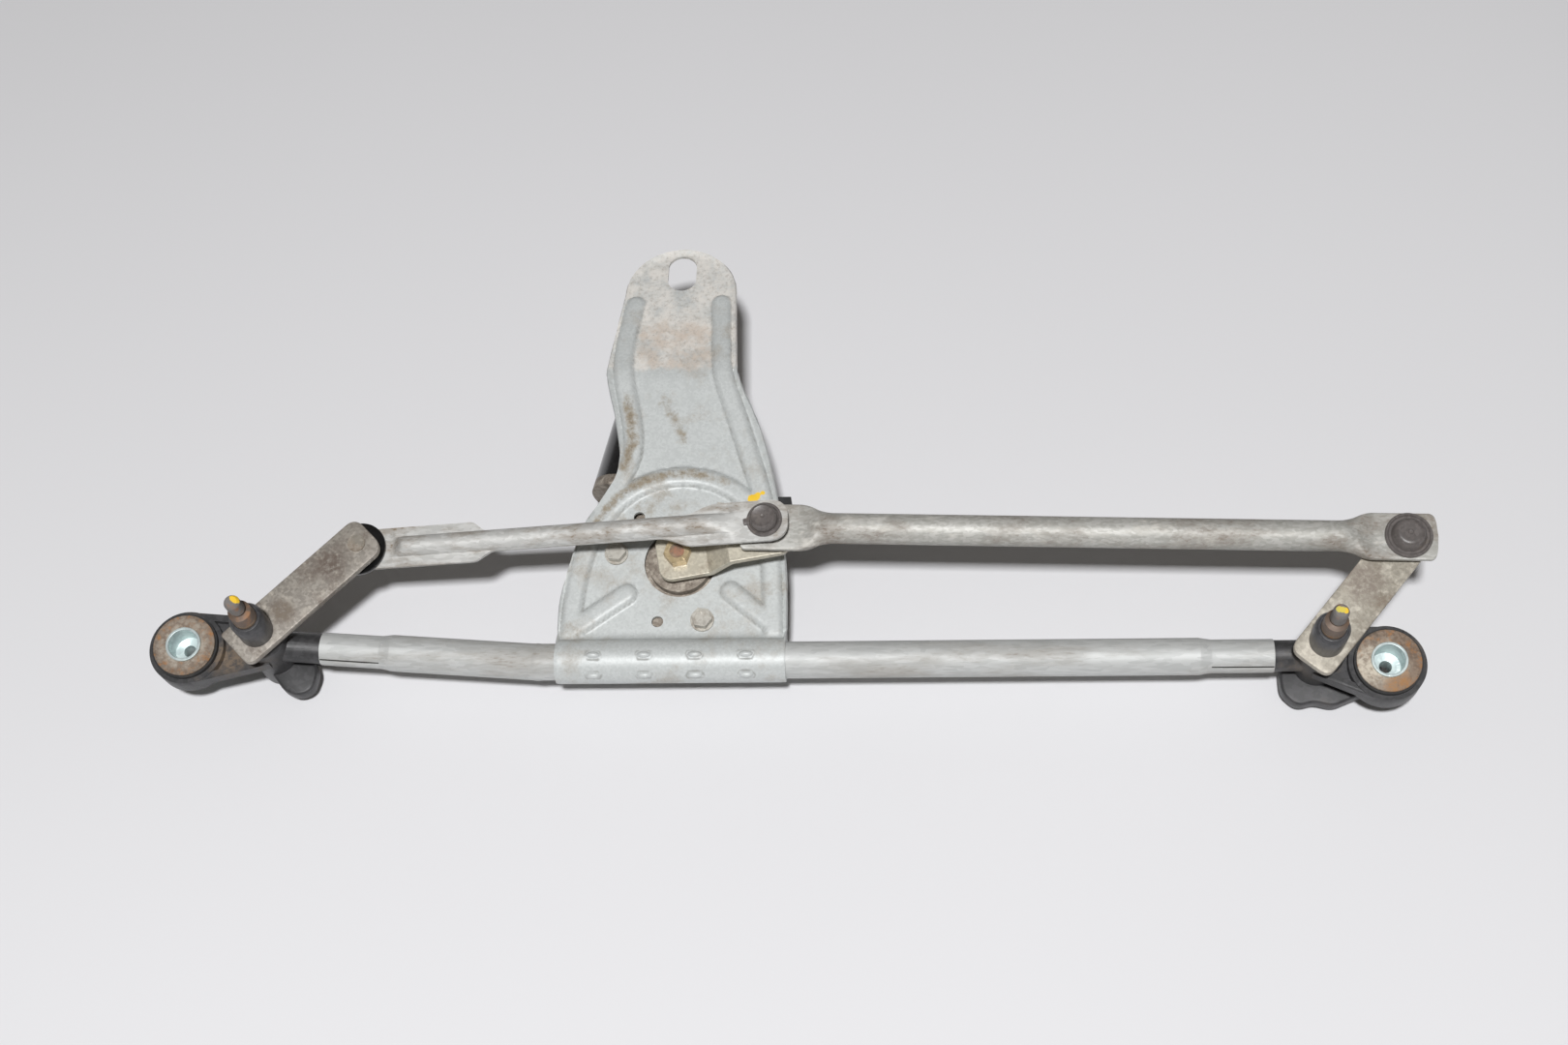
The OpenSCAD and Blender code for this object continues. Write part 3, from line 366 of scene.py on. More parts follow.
# colour, darker crystals, stain, its scale and cover, metal, roughness, relief, scale of the crystals
finishRows = {
    "plate_zinc": ((0.56, 0.583, 0.575), (0.5, 0.522, 0.514), (0.34, 0.3, 0.245), 40, 0.36, 0.12, (0.46, 0.68), 0.1, 900),
    "tube_zinc": ((0.55, 0.56, 0.55), (0.47, 0.48, 0.47), (0.3, 0.275, 0.24), 36, 0.36, 0.25, (0.56, 0.74), 0.08, 700),
    "link_zinc": ((0.62, 0.62, 0.6), (0.5, 0.5, 0.48), (0.2, 0.15, 0.1), 90, 0.42, 0.25, (0.54, 0.74), 0.12, 700),
    "warm_link_zinc": ((0.5, 0.495, 0.465), (0.38, 0.375, 0.345), (0.17, 0.125, 0.09), 42, 0.42, 0.26, (0.52, 0.72), 0.14, 900),
    "lever_steel": ((0.37, 0.34, 0.298), (0.26, 0.237, 0.207), (0.14, 0.108, 0.085), 80, 0.41, 0.34, (0.44, 0.66), 0.2, 700),
    "pale_lever_steel": ((0.46, 0.425, 0.355), (0.36, 0.33, 0.275), (0.2, 0.165, 0.125), 80, 0.38, 0.3, (0.44, 0.66), 0.2, 700),
    "crank_zinc": ((0.59, 0.55, 0.45), (0.48, 0.445, 0.36), (0.2, 0.15, 0.1), 90, 0.33, 0.35, (0.4, 0.62), 0.12, 800),
    "nut_gold": ((0.58, 0.46, 0.28), (0.46, 0.36, 0.21), grime, 90, 0.32, 0.55, (0.32, 0.52), 0.1, 800),
    "shaft_steel": ((0.33, 0.24, 0.165), (0.21, 0.15, 0.1), (0.1, 0.07, 0.05), 60, 0.4, 0.3, (0.46, 0.68), 0.25, 500),
    "rusty_washer": ((0.25, 0.185, 0.135), (0.17, 0.12, 0.085), (0.08, 0.06, 0.045), 110, 0.4, 0.3, (0.5, 0.75), 0.3, 800),
    "sleeve_zinc": ((0.66, 0.75, 0.74), (0.52, 0.6, 0.6), (0.3, 0.27, 0.22), 40, 0.26, 0.6, (0.44, 0.6), 0.06, 300),
    "bolt_steel": ((0.5, 0.48, 0.43), (0.42, 0.4, 0.355), grime, 110, 0.34, 0.3, (0.44, 0.64), 0.12, 800),
    "screw_steel": ((0.6, 0.6, 0.58), (0.46, 0.46, 0.45), grime, 70, 0.25, 0.85, (0.28, 0.46), 0.1, 400),
    "rivet_steel": ((0.5, 0.46, 0.4), (0.36, 0.33, 0.28), grime, 60, 0.36, 0.7, (0.36, 0.58), 0.15, 400),
    "stud_steel": ((0.56, 0.56, 0.55), (0.44, 0.44, 0.43), grime, 60, 0.22, 0.95, (0.16, 0.34), 0.05, 300),
    "spring_steel": ((0.2, 0.2, 0.2), (0.12, 0.12, 0.12), grime, 60, 0.25, 0.8, (0.3, 0.5), 0.1, 300),
    "gear_casting": ((0.37, 0.325, 0.272), (0.25, 0.215, 0.178), (0.13, 0.1, 0.075), 90, 0.42, 0.35, (0.5, 0.75), 0.4, 700),
    "bearing_bronze": ((0.45, 0.33, 0.18), (0.3, 0.22, 0.12), grime, 60, 0.3, 0.85, (0.35, 0.55), 0.15, 500),
    "black_casting": ((0.048, 0.047, 0.049), (0.03, 0.03, 0.031), (0.15, 0.12, 0.09), 34, 0.3, 0.0, (0.4, 0.62), 0.3, 420),
    "can_black": ((0.012, 0.012, 0.013), (0.008, 0.008, 0.009), (0.08, 0.07, 0.06), 24, 0.22, 0.0, (0.2, 0.42), 0.05, 200),
    "bush_rubber": ((0.02, 0.02, 0.02), (0.012, 0.012, 0.012), (0.1, 0.08, 0.06), 40, 0.3, 0.0, (0.6, 0.8), 0.3, 500),
    "cover_plastic": ((0.028, 0.028, 0.028), (0.018, 0.018, 0.018), (0.1, 0.08, 0.06), 30, 0.25, 0.0, (0.45, 0.65), 0.2, 600),
    "plug_plastic": ((0.024, 0.024, 0.025), (0.015, 0.015, 0.016), (0.1, 0.08, 0.06), 30, 0.25, 0.0, (0.4, 0.6), 0.2, 600),
    "wheel_plastic": ((0.7, 0.66, 0.54), (0.6, 0.56, 0.46), (0.2, 0.15, 0.08), 40, 0.25, 0.0, (0.35, 0.5), 0.1, 600),
    "socket_plastic": ((0.135, 0.12, 0.114), (0.1, 0.089, 0.084), (0.23, 0.19, 0.15), 50, 0.3, 0.0, (0.36, 0.56), 0.15, 600),
    "socket_gloss": ((0.01, 0.01, 0.01), (0.006, 0.006, 0.006), (0.05, 0.045, 0.04), 50, 0.24, 0.0, (0.1, 0.3), 0.05, 600),
    "sleeve_dark": ((0.06, 0.06, 0.064), (0.04, 0.04, 0.043), (0.16, 0.13, 0.1), 50, 0.32, 0.1, (0.36, 0.56), 0.15, 600),
}
finishExtras = {
    "plate_zinc": dict(
        dabs=plateDabs,
        # the first worn layer is painted shade along the bead feet and round the staking marks
        worn=(("creaseShade", (0.31, 0.315, 0.3), 60), ("tarnish", (0.7, 0.675, 0.63), 75), ("bloom", (0.58, 0.5, 0.425), 90),
              ("speckle", (0.36, 0.33, 0.29), 420), ("grimeBand", (0.28, 0.235, 0.17), 150),
              ("grimeSpeck", (0.13, 0.105, 0.075), 620))),
    "tube_zinc": dict(stretch=(0.2, 1, 1), worn=(("seamShade", (0.03, 0.028, 0.025), 60),)),
    "link_zinc": dict(stretch=(0.35, 1, 1)),
    "warm_link_zinc": dict(stretch=(0.45, 1, 1), rust=(0.6, 0.58, 0.53), rustCover=0.33),
    "lever_steel": dict(rust=(0.46, 0.42, 0.36), rustCover=0.34, dabs=leverDabs),
    "pale_lever_steel": dict(rust=(0.6, 0.56, 0.475), rustCover=0.36, dabs=paleLeverDabs),
    "shaft_steel": dict(rust=(0.3, 0.15, 0.07), rustCover=0.34, dabs=tipDabs, zones=shaftZones),
    "rusty_washer": dict(rust=(0.33, 0.16, 0.06), rustCover=0.36, dabs=bushDabs),
    "gear_casting": dict(rust=(0.5, 0.45, 0.38), rustCover=0.35),
    "black_casting": dict(dabs=castDabs),
    "can_black": dict(coat=0.3),
    "socket_gloss": dict(coat=0.4),
}
finishes = {}
for slot, row in finishRows.items():
    first, *others = slot.split("_")
    finishes[slot] = newFinish(first + "".join(word.title() for word in others), *row, **finishExtras.get(slot, {}))
slotOf = {row["node"]: row["material_slot"] for row in frame["record"]["subparts"]}
for name, node in nodes.items():
    node.data.materials.clear()
    node.data.materials.append(finishes[slotOf[name]])
print("finishes:", len(finishes))


def finishPiece(piece, body, slot, *replaced, finish=None):
    piece.data.materials.clear()
    piece.data.materials.append(finishes[finish or slot])
    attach(piece, body)
    if replaced:
        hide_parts(*replaced)
    return piece


def polar(x, y, r, turn):
    a = math.radians(turn)
    return x + r * math.cos(a), y + r * math.sin(a)


def circle(x, y, r, count):
    return [(x + r * math.cos(2 * math.pi * k / count), y + r * math.sin(2 * math.pi * k / count)) for k in range(count)]


def rounded(points, times=2):  # cuts the corners of an open path, its ends kept
    for _ in range(times):
        path = [points[0]]
        for (ax, ay), (bx, by) in zip(points, points[1:]):
            path += [(0.75 * ax + 0.25 * bx, 0.75 * ay + 0.25 * by), (0.25 * ax + 0.75 * bx, 0.25 * ay + 0.75 * by)]
        points = path + [points[-1]]
    return points


def awayFrom(path, x, y):
    best = 1e9
    for (ax, ay), (bx, by) in zip(path, path[1:]):
        dx, dy = bx - ax, by - ay
        t = max(0, min(1, ((x - ax) * dx + (y - ay) * dy) / (dx * dx + dy * dy)))
        best = min(best, math.hypot(x - ax - t * dx, y - ay - t * dy))
    return best


def eased(t):
    t = max(0, min(1, t))
    return t * t * (3 - 2 * t)


def inside(path, x, y):
    odd = False
    for (ax, ay), (bx, by) in zip(path, path[1:] + path[:1]):
        if (ay > y) != (by > y) and x < (bx - ax) * (y - ay) / (by - ay) + ax:
            odd = not odd
    return odd


# pressed motor plate: one sheet with a raised bead network, a bent head and a clamp rolled round the tube
plate = dict(
    left=[(-66, -22), (-62, -3.5), (-55.5, 21), (-48.5, 31), (-42, 42), (-36.5, 52), (-35, 64), (-39, 88), (-43.2, 104),
          (-44.8, 113), (-45.2, 116), (-44.7, 119.5), (-41.4, 145), (-37.5, 172)],
    right=[(26.5, 172), (27.5, 145), (28.7, 119.5), (28.8, 116), (30.1, 112), (32.5, 104), (37.5, 93.5), (45.5, 72.5),
           (53.5, 36.5), (58.2, 0), (59, -22)],
    neck=-40, headMiddle=(-5.5, 172), headRadius=32, bendAt=116, bendLength=14, bendTurn=12, thickness=2,
    step=1.7, rowStep=0.866, clear=0.75, foldRun=15.7, clampRadius=11, clampTurn=230,
    hole=19.8, boltCircle=35.9, boltTurn=-69, spareTurn=-109, boltHole=3.2, slotAt=(-5.5, 187), slotWide=16.6, slotLong=25.6,
    ringBead=51, beadHeight=2.7, beadHalf=3.6, beadSlope=2.2, lipHeight=1.7, lipFlat=0.4, lipSlope=2.4)
plate["clampStart"] = linkage["tubeY"] + plate["foldRun"]
# radius of the fillet that leads into the clamp, and the angle where the two meet
plate["clampRise"] = (plate["foldRun"] ** 2 - plate["clampRadius"] ** 2) / (2 * plate["clampRadius"])
plate["lean"] = math.atan2(plate["foldRun"], plate["clampRise"])
beads = [
    [(-31.5, 164), (-35.5, 140), (-36.5, 116), (-31, 92), (-27.5, 70), (-32, 54), (-42, 38), (-49, 18), (-56, -4),
     (-59, -30), (-59.6, -52)],
    [(18.5, 164), (19.5, 140), (20.5, 114), (28, 92), (36, 66), (44.5, 40), (49.5, 10), (51.5, -30), (52, -52)],
    [polar(0, 0, plate["ringBead"], turn) for turn in range(24, 158, 7)],
    [(-56, -37), (-42, -27), (-29, -18)], [(50, -35), (40, -27), (28, -17)]]
# the last three sizes place the painted shade ring round each staking mark
stakes = dict(length=4.1, width=1.95, height=2.3, sunk=0.8, spacing=27.5, count=4, start=-44.7, turns=(90, 147),
              shadeReach=5, shadeHalf=2.2, shadeRing=2.4)


def plateOutline():
    p = plate
    low = p["clampStart"] - (p["clampRise"] * p["lean"] + p["clampRadius"] * math.radians(p["clampTurn"]))
    arc = [polar(*p["headMiddle"], p["headRadius"], turn) for turn in range(174, 2, -6)]
    left = rounded([(p["left"][0][0], p["neck"])] + p["left"])
    right = rounded(p["right"] + [(p["right"][-1][0], p["neck"])])
    return [(left[0][0], low)] + left + arc + right + [(right[-1][0], low)]


def plateHoles():
    p = plate
    holes = [circle(0, 0, p["hole"], 60)]
    for k in range(3):
        for turn in (p["boltTurn"], p["spareTurn"]):
            x, y = polar(0, 0, p["boltCircle"], turn + 120 * k)
            holes.append(circle(x, y, p["boltHole"], 20))
    x, y = p["slotAt"]
    r, half = p["slotWide"] / 2, (p["slotLong"] - p["slotWide"]) / 2
    holes.append([polar(x, y + (half if turn < 180 else -half), r, turn) for turn in range(0, 360, 10)])
    return holes


def stakeRows():  # where the rows of staking marks lie along the sheet
    p = plate
    foot = p["clampStart"] - p["clampRise"] * p["lean"]
    return [foot - (math.radians(turn) - math.pi / 2 + p["lean"]) * p["clampRadius"] for turn in stakes["turns"]]


# what is drawn on the sheet, by place and by distance from the nearest bead
def plateGrime(x, s, near):  # brown dirt held by the ring bead, the left bead and a streak on the pad
    turn, away = math.degrees(math.atan2(s, x)), math.hypot(x, s)
    band = math.exp(-((away - 52) / 4.5) ** 2) * eased((turn - 35) / 40) * eased((172 - turn) / 20)
    seat = 0.62 * eased((away - 22) / 12) * eased((50 - away) / 6) * eased((turn - 60) / 40) * eased((178 - turn) / 20)
    side = 1.05 * math.exp(-(awayFrom([(-32, 98), (-28, 72), (-33, 56)], x, s) / 4.5) ** 2)
    streak = 0.85 * math.exp(-(awayFrom([(-12, 98), (-4, 84), (0, 74)], x, s) / 5.5) ** 2)
    edge = 0.45 * math.exp(-(awayFrom([(-64, -20), (-52, 22), (-45, 36)], x, s) / 5) ** 2)
    return max(band, seat, side, streak, edge)


def plateGrimeSpeck(x, s, near):  # dark grains in that dirt
    return 0.6 * plateGrime(x, s, near)


def offBeads(near):  # the beads stay cleaner than the face between them
    return 1 - 0.7 * eased(1 - (near - 2.4) / 4)


def plateTarnish(x, s, near):  # pale bloom over the head
    return 0.95 * eased((s - 112) / 8) * offBeads(near)


def plateBloom(x, s, near):  # warm patch between the head's beads, ending at the bend
    lengthwise = eased((s - 111) / 9) * eased((172 - s) / 30)
    return 0.85 * lengthwise * offBeads(near) * eased((x + 34) / 8) * eased((22 - x) / 8)


def plateSpeckle(x, s, near):
    return 0.4 * eased((s - 108) / 12) * offBeads(near) + 0.2 * eased((s - 60) / 40)


def beadFootShade(x, s, near):  # painted shade along the feet of the beads and round the staking marks
    for row in stakeRows():
        for k in range(stakes["count"]):
            mark = stakes["start"] + k * stakes["spacing"]
            away = awayFrom([(mark - stakes["shadeHalf"], row), (mark + stakes["shadeHalf"], row)], x, s)
            if away < stakes["shadeReach"]:
                return 1.1 * math.exp(-((away - stakes["shadeRing"]) / 0.9) ** 2)
    foot = plate["beadHalf"] + plate["beadSlope"]
    return 0.9 * math.exp(-((near - foot + 0.7) / 1.1) ** 2) * eased((s + 44) / 5) * eased((170 - s) / 10)


def plateFold(x, s, h):  # distance s along the sheet and height h over it, to the folded sheet
    p = plate
    bend = math.radians(p["bendTurn"])
    start = p["bendAt"] - p["bendLength"] / 2
    if s > start:
        r = p["bendLength"] / bend
        a = min(bend, (s - start) / r)
        y, z = start + r * math.sin(a), -r * (1 - math.cos(a))
        rest = max(0, s - start - p["bendLength"])
        y, z = y + rest * math.cos(a), z - rest * math.sin(a)
        return place(x, y + h * math.sin(a), z + h * math.cos(a))
    if s >= p["clampStart"]:
        return place(x, s, h)
    rise, lean = p["clampRise"], p["lean"]
    a = (p["clampStart"] - s) / rise
    if a <= lean:
        return place(x, p["clampStart"] - (rise - h) * math.sin(a), rise - (rise - h) * math.cos(a))
    turn = math.pi / 2 - lean + (a - lean) * rise / p["clampRadius"]
    r = p["clampRadius"] + h
    return place(x, linkage["tubeY"] + r * math.cos(turn), r * math.sin(turn))


def sheetPoints(outline, holes):  # rims of the sheet, then a grid of points inside them
    p = plate
    rings = [outline] + holes
    closed = [ring + ring[:1] for ring in rings]
    points, edges = [], []
    for ring in rings:
        start = len(points)
        points += ring
        edges += [(start + i, start + (i + 1) % len(ring)) for i in range(len(ring))]
    xs, ys = [x for x, y in outline], [y for x, y in outline]
    y, row = min(ys) + p["step"], 0
    while y < max(ys):
        x = min(xs) + (row % 2) * p["step"] / 2
        while x < max(xs):
            onSheet = inside(outline, x, y) and not any(inside(hole, x, y) for hole in holes)
            if onSheet and min(awayFrom(ring, x, y) for ring in closed) > p["clear"]:
                points.append((x, y))
            x += p["step"]
        y += p["step"] * p["rowStep"]
        row += 1
    return points, edges


def plateSheet():
    p = plate
    outline, holes = plateOutline(), plateHoles()
    points, edges = sheetPoints(outline, holes)
    flat, _, faces, *_ = delaunay_2d_cdt([Vector(q) for q in points], edges, [], 0, 1e-4)
    kept = []
    for f in faces:
        cx, cy = sum(flat[i].x for i in f) / 3, sum(flat[i].y for i in f) / 3
        if inside(outline, cx, cy) and not any(inside(hole, cx, cy) for hole in holes):
            kept.append(list(f))
    border = outline + outline[:1]
    nears = [min(awayFrom(path, q.x, q.y) for path in beadPaths) for q in flat]
    verts = []
    for q, near in zip(flat, nears):
        climb = min(math.pi / 2, max(0, p["clampStart"] - q.y) / p["clampRise"])
        fade = max(0, 1 - p["clampRise"] * (1 - math.cos(climb)) / p["beadHeight"])  # the clamp swallows the beads
        bead = p["beadHeight"] * eased(1 - (near - p["beadHalf"]) / p["beadSlope"]) * fade
        rim = awayFrom(border, q.x, q.y)
        lip = p["lipHeight"] * eased(1 - (rim - p["lipFlat"]) / p["lipSlope"]) * fade
        verts.append(plateFold(q.x, q.y, max(bead, lip)))
    piece = meshPiece("pressedPlate", verts, kept)
    # the crease layer is painted shade; the other layers are stains, tarnish and dirt
    drawings = dict(grimeBand=plateGrime, grimeSpeck=plateGrimeSpeck, tarnish=plateTarnish, bloom=plateBloom,
                    speckle=plateSpeckle, creaseShade=beadFootShade)
    for label, draw in drawings.items():
        layer = piece.data.attributes.new(label, "FLOAT", "POINT")
        layer.data.foreach_set("value", [draw(q.x, q.y, near) for q, near in zip(flat, nears)])
    return piece


beadPaths = [rounded(b, 3) for b in beads]
pressedPlate = plateSheet()
solid = pressedPlate.modifiers.new("sheetThickness", "SOLIDIFY")
solid.thickness = plate["thickness"] * mm
solid.offset = 0
applyModifiers(pressedPlate)
shadeSmooth(pressedPlate, 50)
finishPiece(pressedPlate, "frame_body", "plate_zinc", "motor_plate")
print("pressed plate:", len(pressedPlate.data.polygons), "faces")


# links: a bar or tube whose section runs from flat, through oval, to round
leftLinkShape = dict(flange=11.5, thick=1.0, rib=5.75, lift=1.0, under=3.75, endOver=12.5, corner=9, ribFrom=(18, 26),
                     ribTo=(36, 15), leftUpper=(62.5, 72), leftLower=(64.5, 77), crankUpper=(46, 26), crankLower=(58, 39),
                     ease=0.15, arc=14)
rightLinkShape = dict(flatWide=13, flatThick=1.6, barRadius=8.25, endOver=13.5, corner=2.6, flatTo=17, barFrom=36, bulge=1.9,
                      bulgeRun=8, count=40)


def linkAxes(start, end):
    run = end - start
    along = run.normalized()
    side = Vector((-along.y, along.x, 0)).normalized()
    return run.length, along, side, along.cross(side)


def endMarks(shape):  # closer together where the rounded corner turns most
    return [-shape["endOver"] + shape["corner"] * t for t in (0, 0.03, 0.1, 0.22, 0.4, 0.65, 1)]


def cornerCut(corner, past):  # how far a rounded corner takes the edge in
    edge = max(0, corner - past) / corner
    return corner * (1 - math.sqrt(max(0, 1 - edge * edge)))


def linkStations(shape, length):
    s = shape
    run = s["barFrom"] - s["flatTo"]
    marks = endMarks(s) + [s["flatTo"] * t for t in (0.2, 0.6, 1)] + [s["flatTo"] + run * k / 12 for k in range(1, 13)]
    half = []
    for x in marks:
        t = eased((x - s["flatTo"]) / run)
        wide = (s["flatWide"] - cornerCut(s["corner"], x + s["endOver"])) * (1 - t) + s["barRadius"] * t
        swell = eased((x - s["flatTo"] * 0.9) / (s["barFrom"] - s["flatTo"] * 0.9))
        thick = s["flatThick"] + (s["barRadius"] - s["flatThick"]) * swell
        power = 9 - 7 * eased((x - s["flatTo"]) / run * 1.6)  # from a box to an oval
        half.append((x, wide, thick, power))
    return half + [(length - x, wide, thick, power) for x, wide, thick, power in reversed(half)]


def linkPiece(name, shape, start, end):
    length, along, side, over = linkAxes(start, end)
    count = shape["count"]
    stations = linkStations(shape, length)
    verts = []
    for x, wide, thick, power in stations:
        for k in range(count):
            a = 2 * math.pi * k / count
            c, s = math.cos(a), math.sin(a)
            u = math.copysign(abs(c) ** (2 / power), c) * wide
            v = math.copysign(abs(s) ** (2 / power), s) * thick
            late = eased((x - length - shape["endOver"]) / shape["bulgeRun"] + 1)
            push = shape["bulge"] * late * (1 - (u / shape["flatWide"]) ** 2)
            q = start + along * (x + push) + side * u + over * v
            verts.append(place(q.x, q.y, q.z))
    return shadeSmooth(meshPiece(name, verts, ringFaces(len(stations), count)), 45)


def ribbedLink(name, shape, start, end):
    s = shape
    length, along, side, over = linkAxes(start, end)
    ends = endMarks(s)
    marks = ends + [5, 10] + [15 + k for k in range(13)] + [32, 40, 50, 58] + [61 + 1.5 * k for k in range(13)]
    marks += [90 + (length - 160) * k / 8 for k in range(9)] + [length - 68 + 2.5 * k for k in range(23)]
    marks += [length - 8, length - 3] + [length - x for x in reversed(ends)]
    marks = sorted(set(round(x, 3) for x in marks))
    sweep = [math.pi * k / s["arc"] for k in range(s["arc"] + 1)]
    verts = []
    for x in marks:
        cut = cornerCut(s["corner"], min(x, length - x) + s["endOver"])
        rise = eased((x - s["ribFrom"][0]) / (s["ribFrom"][1] - s["ribFrom"][0]))
        rise *= eased((length - x - s["ribTo"][1]) / (s["ribTo"][0] - s["ribTo"][1]))
        wide = []
        for near, far in (("leftUpper", "crankUpper"), ("leftLower", "crankLower")):
            (a, b), (c, d) = s[near], s[far]
            full = max(eased((b - x) / (b - a)), eased((c - (length - x)) / (c - d)))
            wide.append(s["rib"] + s["ease"] + (s["flange"] - s["rib"] - s["ease"]) * full - cut)
        base = min(s["rib"], min(wide) - 0.1)
        high = (s["rib"] + s["lift"] - s["thick"]) * rise
        low = s["under"] * rise
        ring = [(wide[0], s["thick"])] + [(base * math.cos(b), s["thick"] + high * math.sin(b)) for b in sweep]
        ring += [(-wide[1], s["thick"]), (-wide[1], -s["thick"])]
        ring += [(-base * math.cos(b), -s["thick"] - low * math.sin(b)) for b in sweep] + [(wide[0], -s["thick"])]
        for u, v in ring:
            q = start + along * x + side * u + over * v
            verts.append(place(q.x, q.y, q.z))
    return shadeSmooth(meshPiece(name, verts, ringFaces(len(marks), len(verts) // len(marks))), 38)


leftLinkPiece = ribbedLink("pressedLeftLink", leftLinkShape, leftBall, leftCrankEnd)
finishPiece(leftLinkPiece, "left_link_body", "link_zinc", "left_link")
rightLinkPiece = linkPiece("flattenedRightLink", rightLinkShape, rightCrankEnd, rightBall)
finishPiece(rightLinkPiece, "right_link_body", "link_zinc", "right_link", finish="warm_link_zinc")
print("links shaped")


# flat pieces: a rounded outline raised to a slab with soft edges
def roundedCorners(points, radii, steps=7):
    path = []
    count = len(points)
    for i, (x, y) in enumerate(points):
        corner = Vector((x, y))
        before, after = Vector(points[i - 1]) - corner, Vector(points[(i + 1) % count]) - corner
        half = before.angle(after) / 2
        reach = min(radii[i] / math.tan(half), before.length * 0.48, after.length * 0.48)
        first, last = corner + before.normalized() * reach, corner + after.normalized() * reach
        for k in range(steps + 1):
            t = k / steps
            path.append(tuple(first * (1 - t) ** 2 + corner * 2 * t * (1 - t) + last * t * t))
    return path


def slab(name, outline, low, high, soft, turn=0, at=(0, 0)):
    c, s = math.cos(math.radians(turn)), math.sin(math.radians(turn))
    flat = [(at[0] + c * x - s * y, at[1] + s * x + c * y) for x, y in outline]
    count = len(flat)
    verts = [place(x, y, low) for x, y in flat] + [place(x, y, high) for x, y in flat]
    faces = [tuple(range(count - 1, -1, -1)), tuple(range(count, 2 * count))]
    faces += [(i, (i + 1) % count, count + (i + 1) % count, count + i) for i in range(count)]
    piece = meshPiece(name, verts, faces)
    softBevel(piece, soft, 3, 50)
    return shadeSmooth(applyModifiers(piece), 40)


levers = dict(low=20.5, wide=25, heel=15.5, soft=0.55, leftOver=9.3, rightOver=12, leftCorners=(2, 6, 8, 7),
              rightCorners=(7, 6, 7, 7), leftFinish="lever_steel", rightFinish="pale_lever_steel")
for side, shaft, turn in (("left", leftShaft, linkage["leftRest"]), ("right", rightShaft, linkage["rightRest"])):
    w, heel, far = levers["wide"] / 2, levers["heel"], linkage["leverLength"] + levers[side + "Over"]
    outline = roundedCorners([(-heel, w), (-heel, -w), (far, -w), (far, w)], levers[side + "Corners"])
    piece = slab(side + "PressedLever", outline, levers["low"], linkage["leverFace"], levers["soft"], turn, (shaft.x, shaft.y))
    finishPiece(piece, side + "_lever_body", "lever_steel", side + "_lever", finish=levers[side + "Finish"])

castTabs = dict(
    low=-24, high=-14, soft=1.6, corner=11,
    left=[(-226, -42), (-232, -51), (-219.5, -66.5), (-211.5, -70), (-203.5, -66.5), (-201.5, -56), (-206, -45)],
    right=[(326, -50), (323.5, -60), (323.5, -72), (331.5, -80), (341, -77.5), (351, -80), (364, -74.5), (379, -72),
           (378, -52)])
for side in ("left", "right"):
    outline = roundedCorners(castTabs[side], [castTabs["corner"]] * len(castTabs[side]))
    piece = slab(side + "CastTab", outline, castTabs["low"], castTabs["high"], castTabs["soft"])
    finishPiece(piece, "frame_body", "black_casting")

capEar = dict(root=8, reach=11.6, wide=3.4, low=1.1, high=2.5, soft=0.4, turn=186, corners=(0.3, 1.2, 1.2, 0.3))
earHalf, earLow, earHigh = capEar["wide"] / 2, linkage["leftInnerZ"] + capEar["low"], linkage["leftInnerZ"] + capEar["high"]
earCorners = [(capEar["root"], -earHalf), (capEar["reach"], -earHalf), (capEar["reach"], earHalf), (capEar["root"], earHalf)]
earOutline = roundedCorners(earCorners, capEar["corners"])
capEarPiece = slab("crankCapEar", earOutline, earLow, earHigh, capEar["soft"], capEar["turn"], (crankPin.x, crankPin.y))
finishPiece(capEarPiece, "left_link_body", "socket_plastic")
print("levers, casting tabs and cap ear made")


# turned pieces: sockets with a rim, a groove and a cap
def turned(name, profile, base, axis, count=64):
    side = across - axis * across.dot(axis)
    side.normalize()
    other = axis.cross(side)
    verts = []
    for r, z in profile:
        for k in range(count):
            a = 2 * math.pi * k / count
            verts.append(base + (side * math.cos(a) * r + other * math.sin(a) * r + axis * z) * mm)
    return shadeSmooth(meshPiece(name, verts, ringFaces(len(profile), count)), 42)


linkRun = leftCrankEnd - leftBall
linkAlong = (across * linkRun.x + ahead * linkRun.y + out * linkRun.z).normalized()
linkUp = linkAlong.cross(out.cross(linkAlong).normalized())
if linkUp.dot(out) < 0:
    linkUp = -linkUp
crankCap = [(0.3, -3.6), (6.4, -3.6), (6.4, 1.0), (9.2, 1.0), (9.6, 1.3), (9.6, 2.3), (9.2, 2.7), (8.3, 2.7), (7.8, 1.9),
            (7.5, 1.9), (7.3, 2.4), (7.2, 6.6), (6.7, 7.5), (6.0, 7.9), (5.4, 7.6), (1.3, 7.6), (1.0, 7.3), (0.3, 7.2)]
outerCap = [(0.3, -4.8), (6.4, -4.8), (6.4, 1.6), (12.0, 1.6), (12.5, 2.0), (12.5, 3.0), (12.0, 3.5), (11.2, 3.5), (10.6, 2.7),
            (9.4, 2.7), (9.0, 3.1), (8.2, 6.2), (7.4, 7.8), (6.4, 8.5), (5.2, 8.6), (1.5, 8.4), (1.1, 7.9), (0.3, 7.8)]
crankCapPiece = turned("crankCap", crankCap, place(*leftCrankEnd), linkUp)
finishPiece(crankCapPiece, "left_link_body", "socket_plastic", "left_link_crank_socket")
outerCapPiece = turned("outerCap", outerCap, place(*rightBall), out)
finishPiece(outerCapPiece, "right_link_body", "socket_plastic", "right_link_outer_socket")
print("socket caps turned")


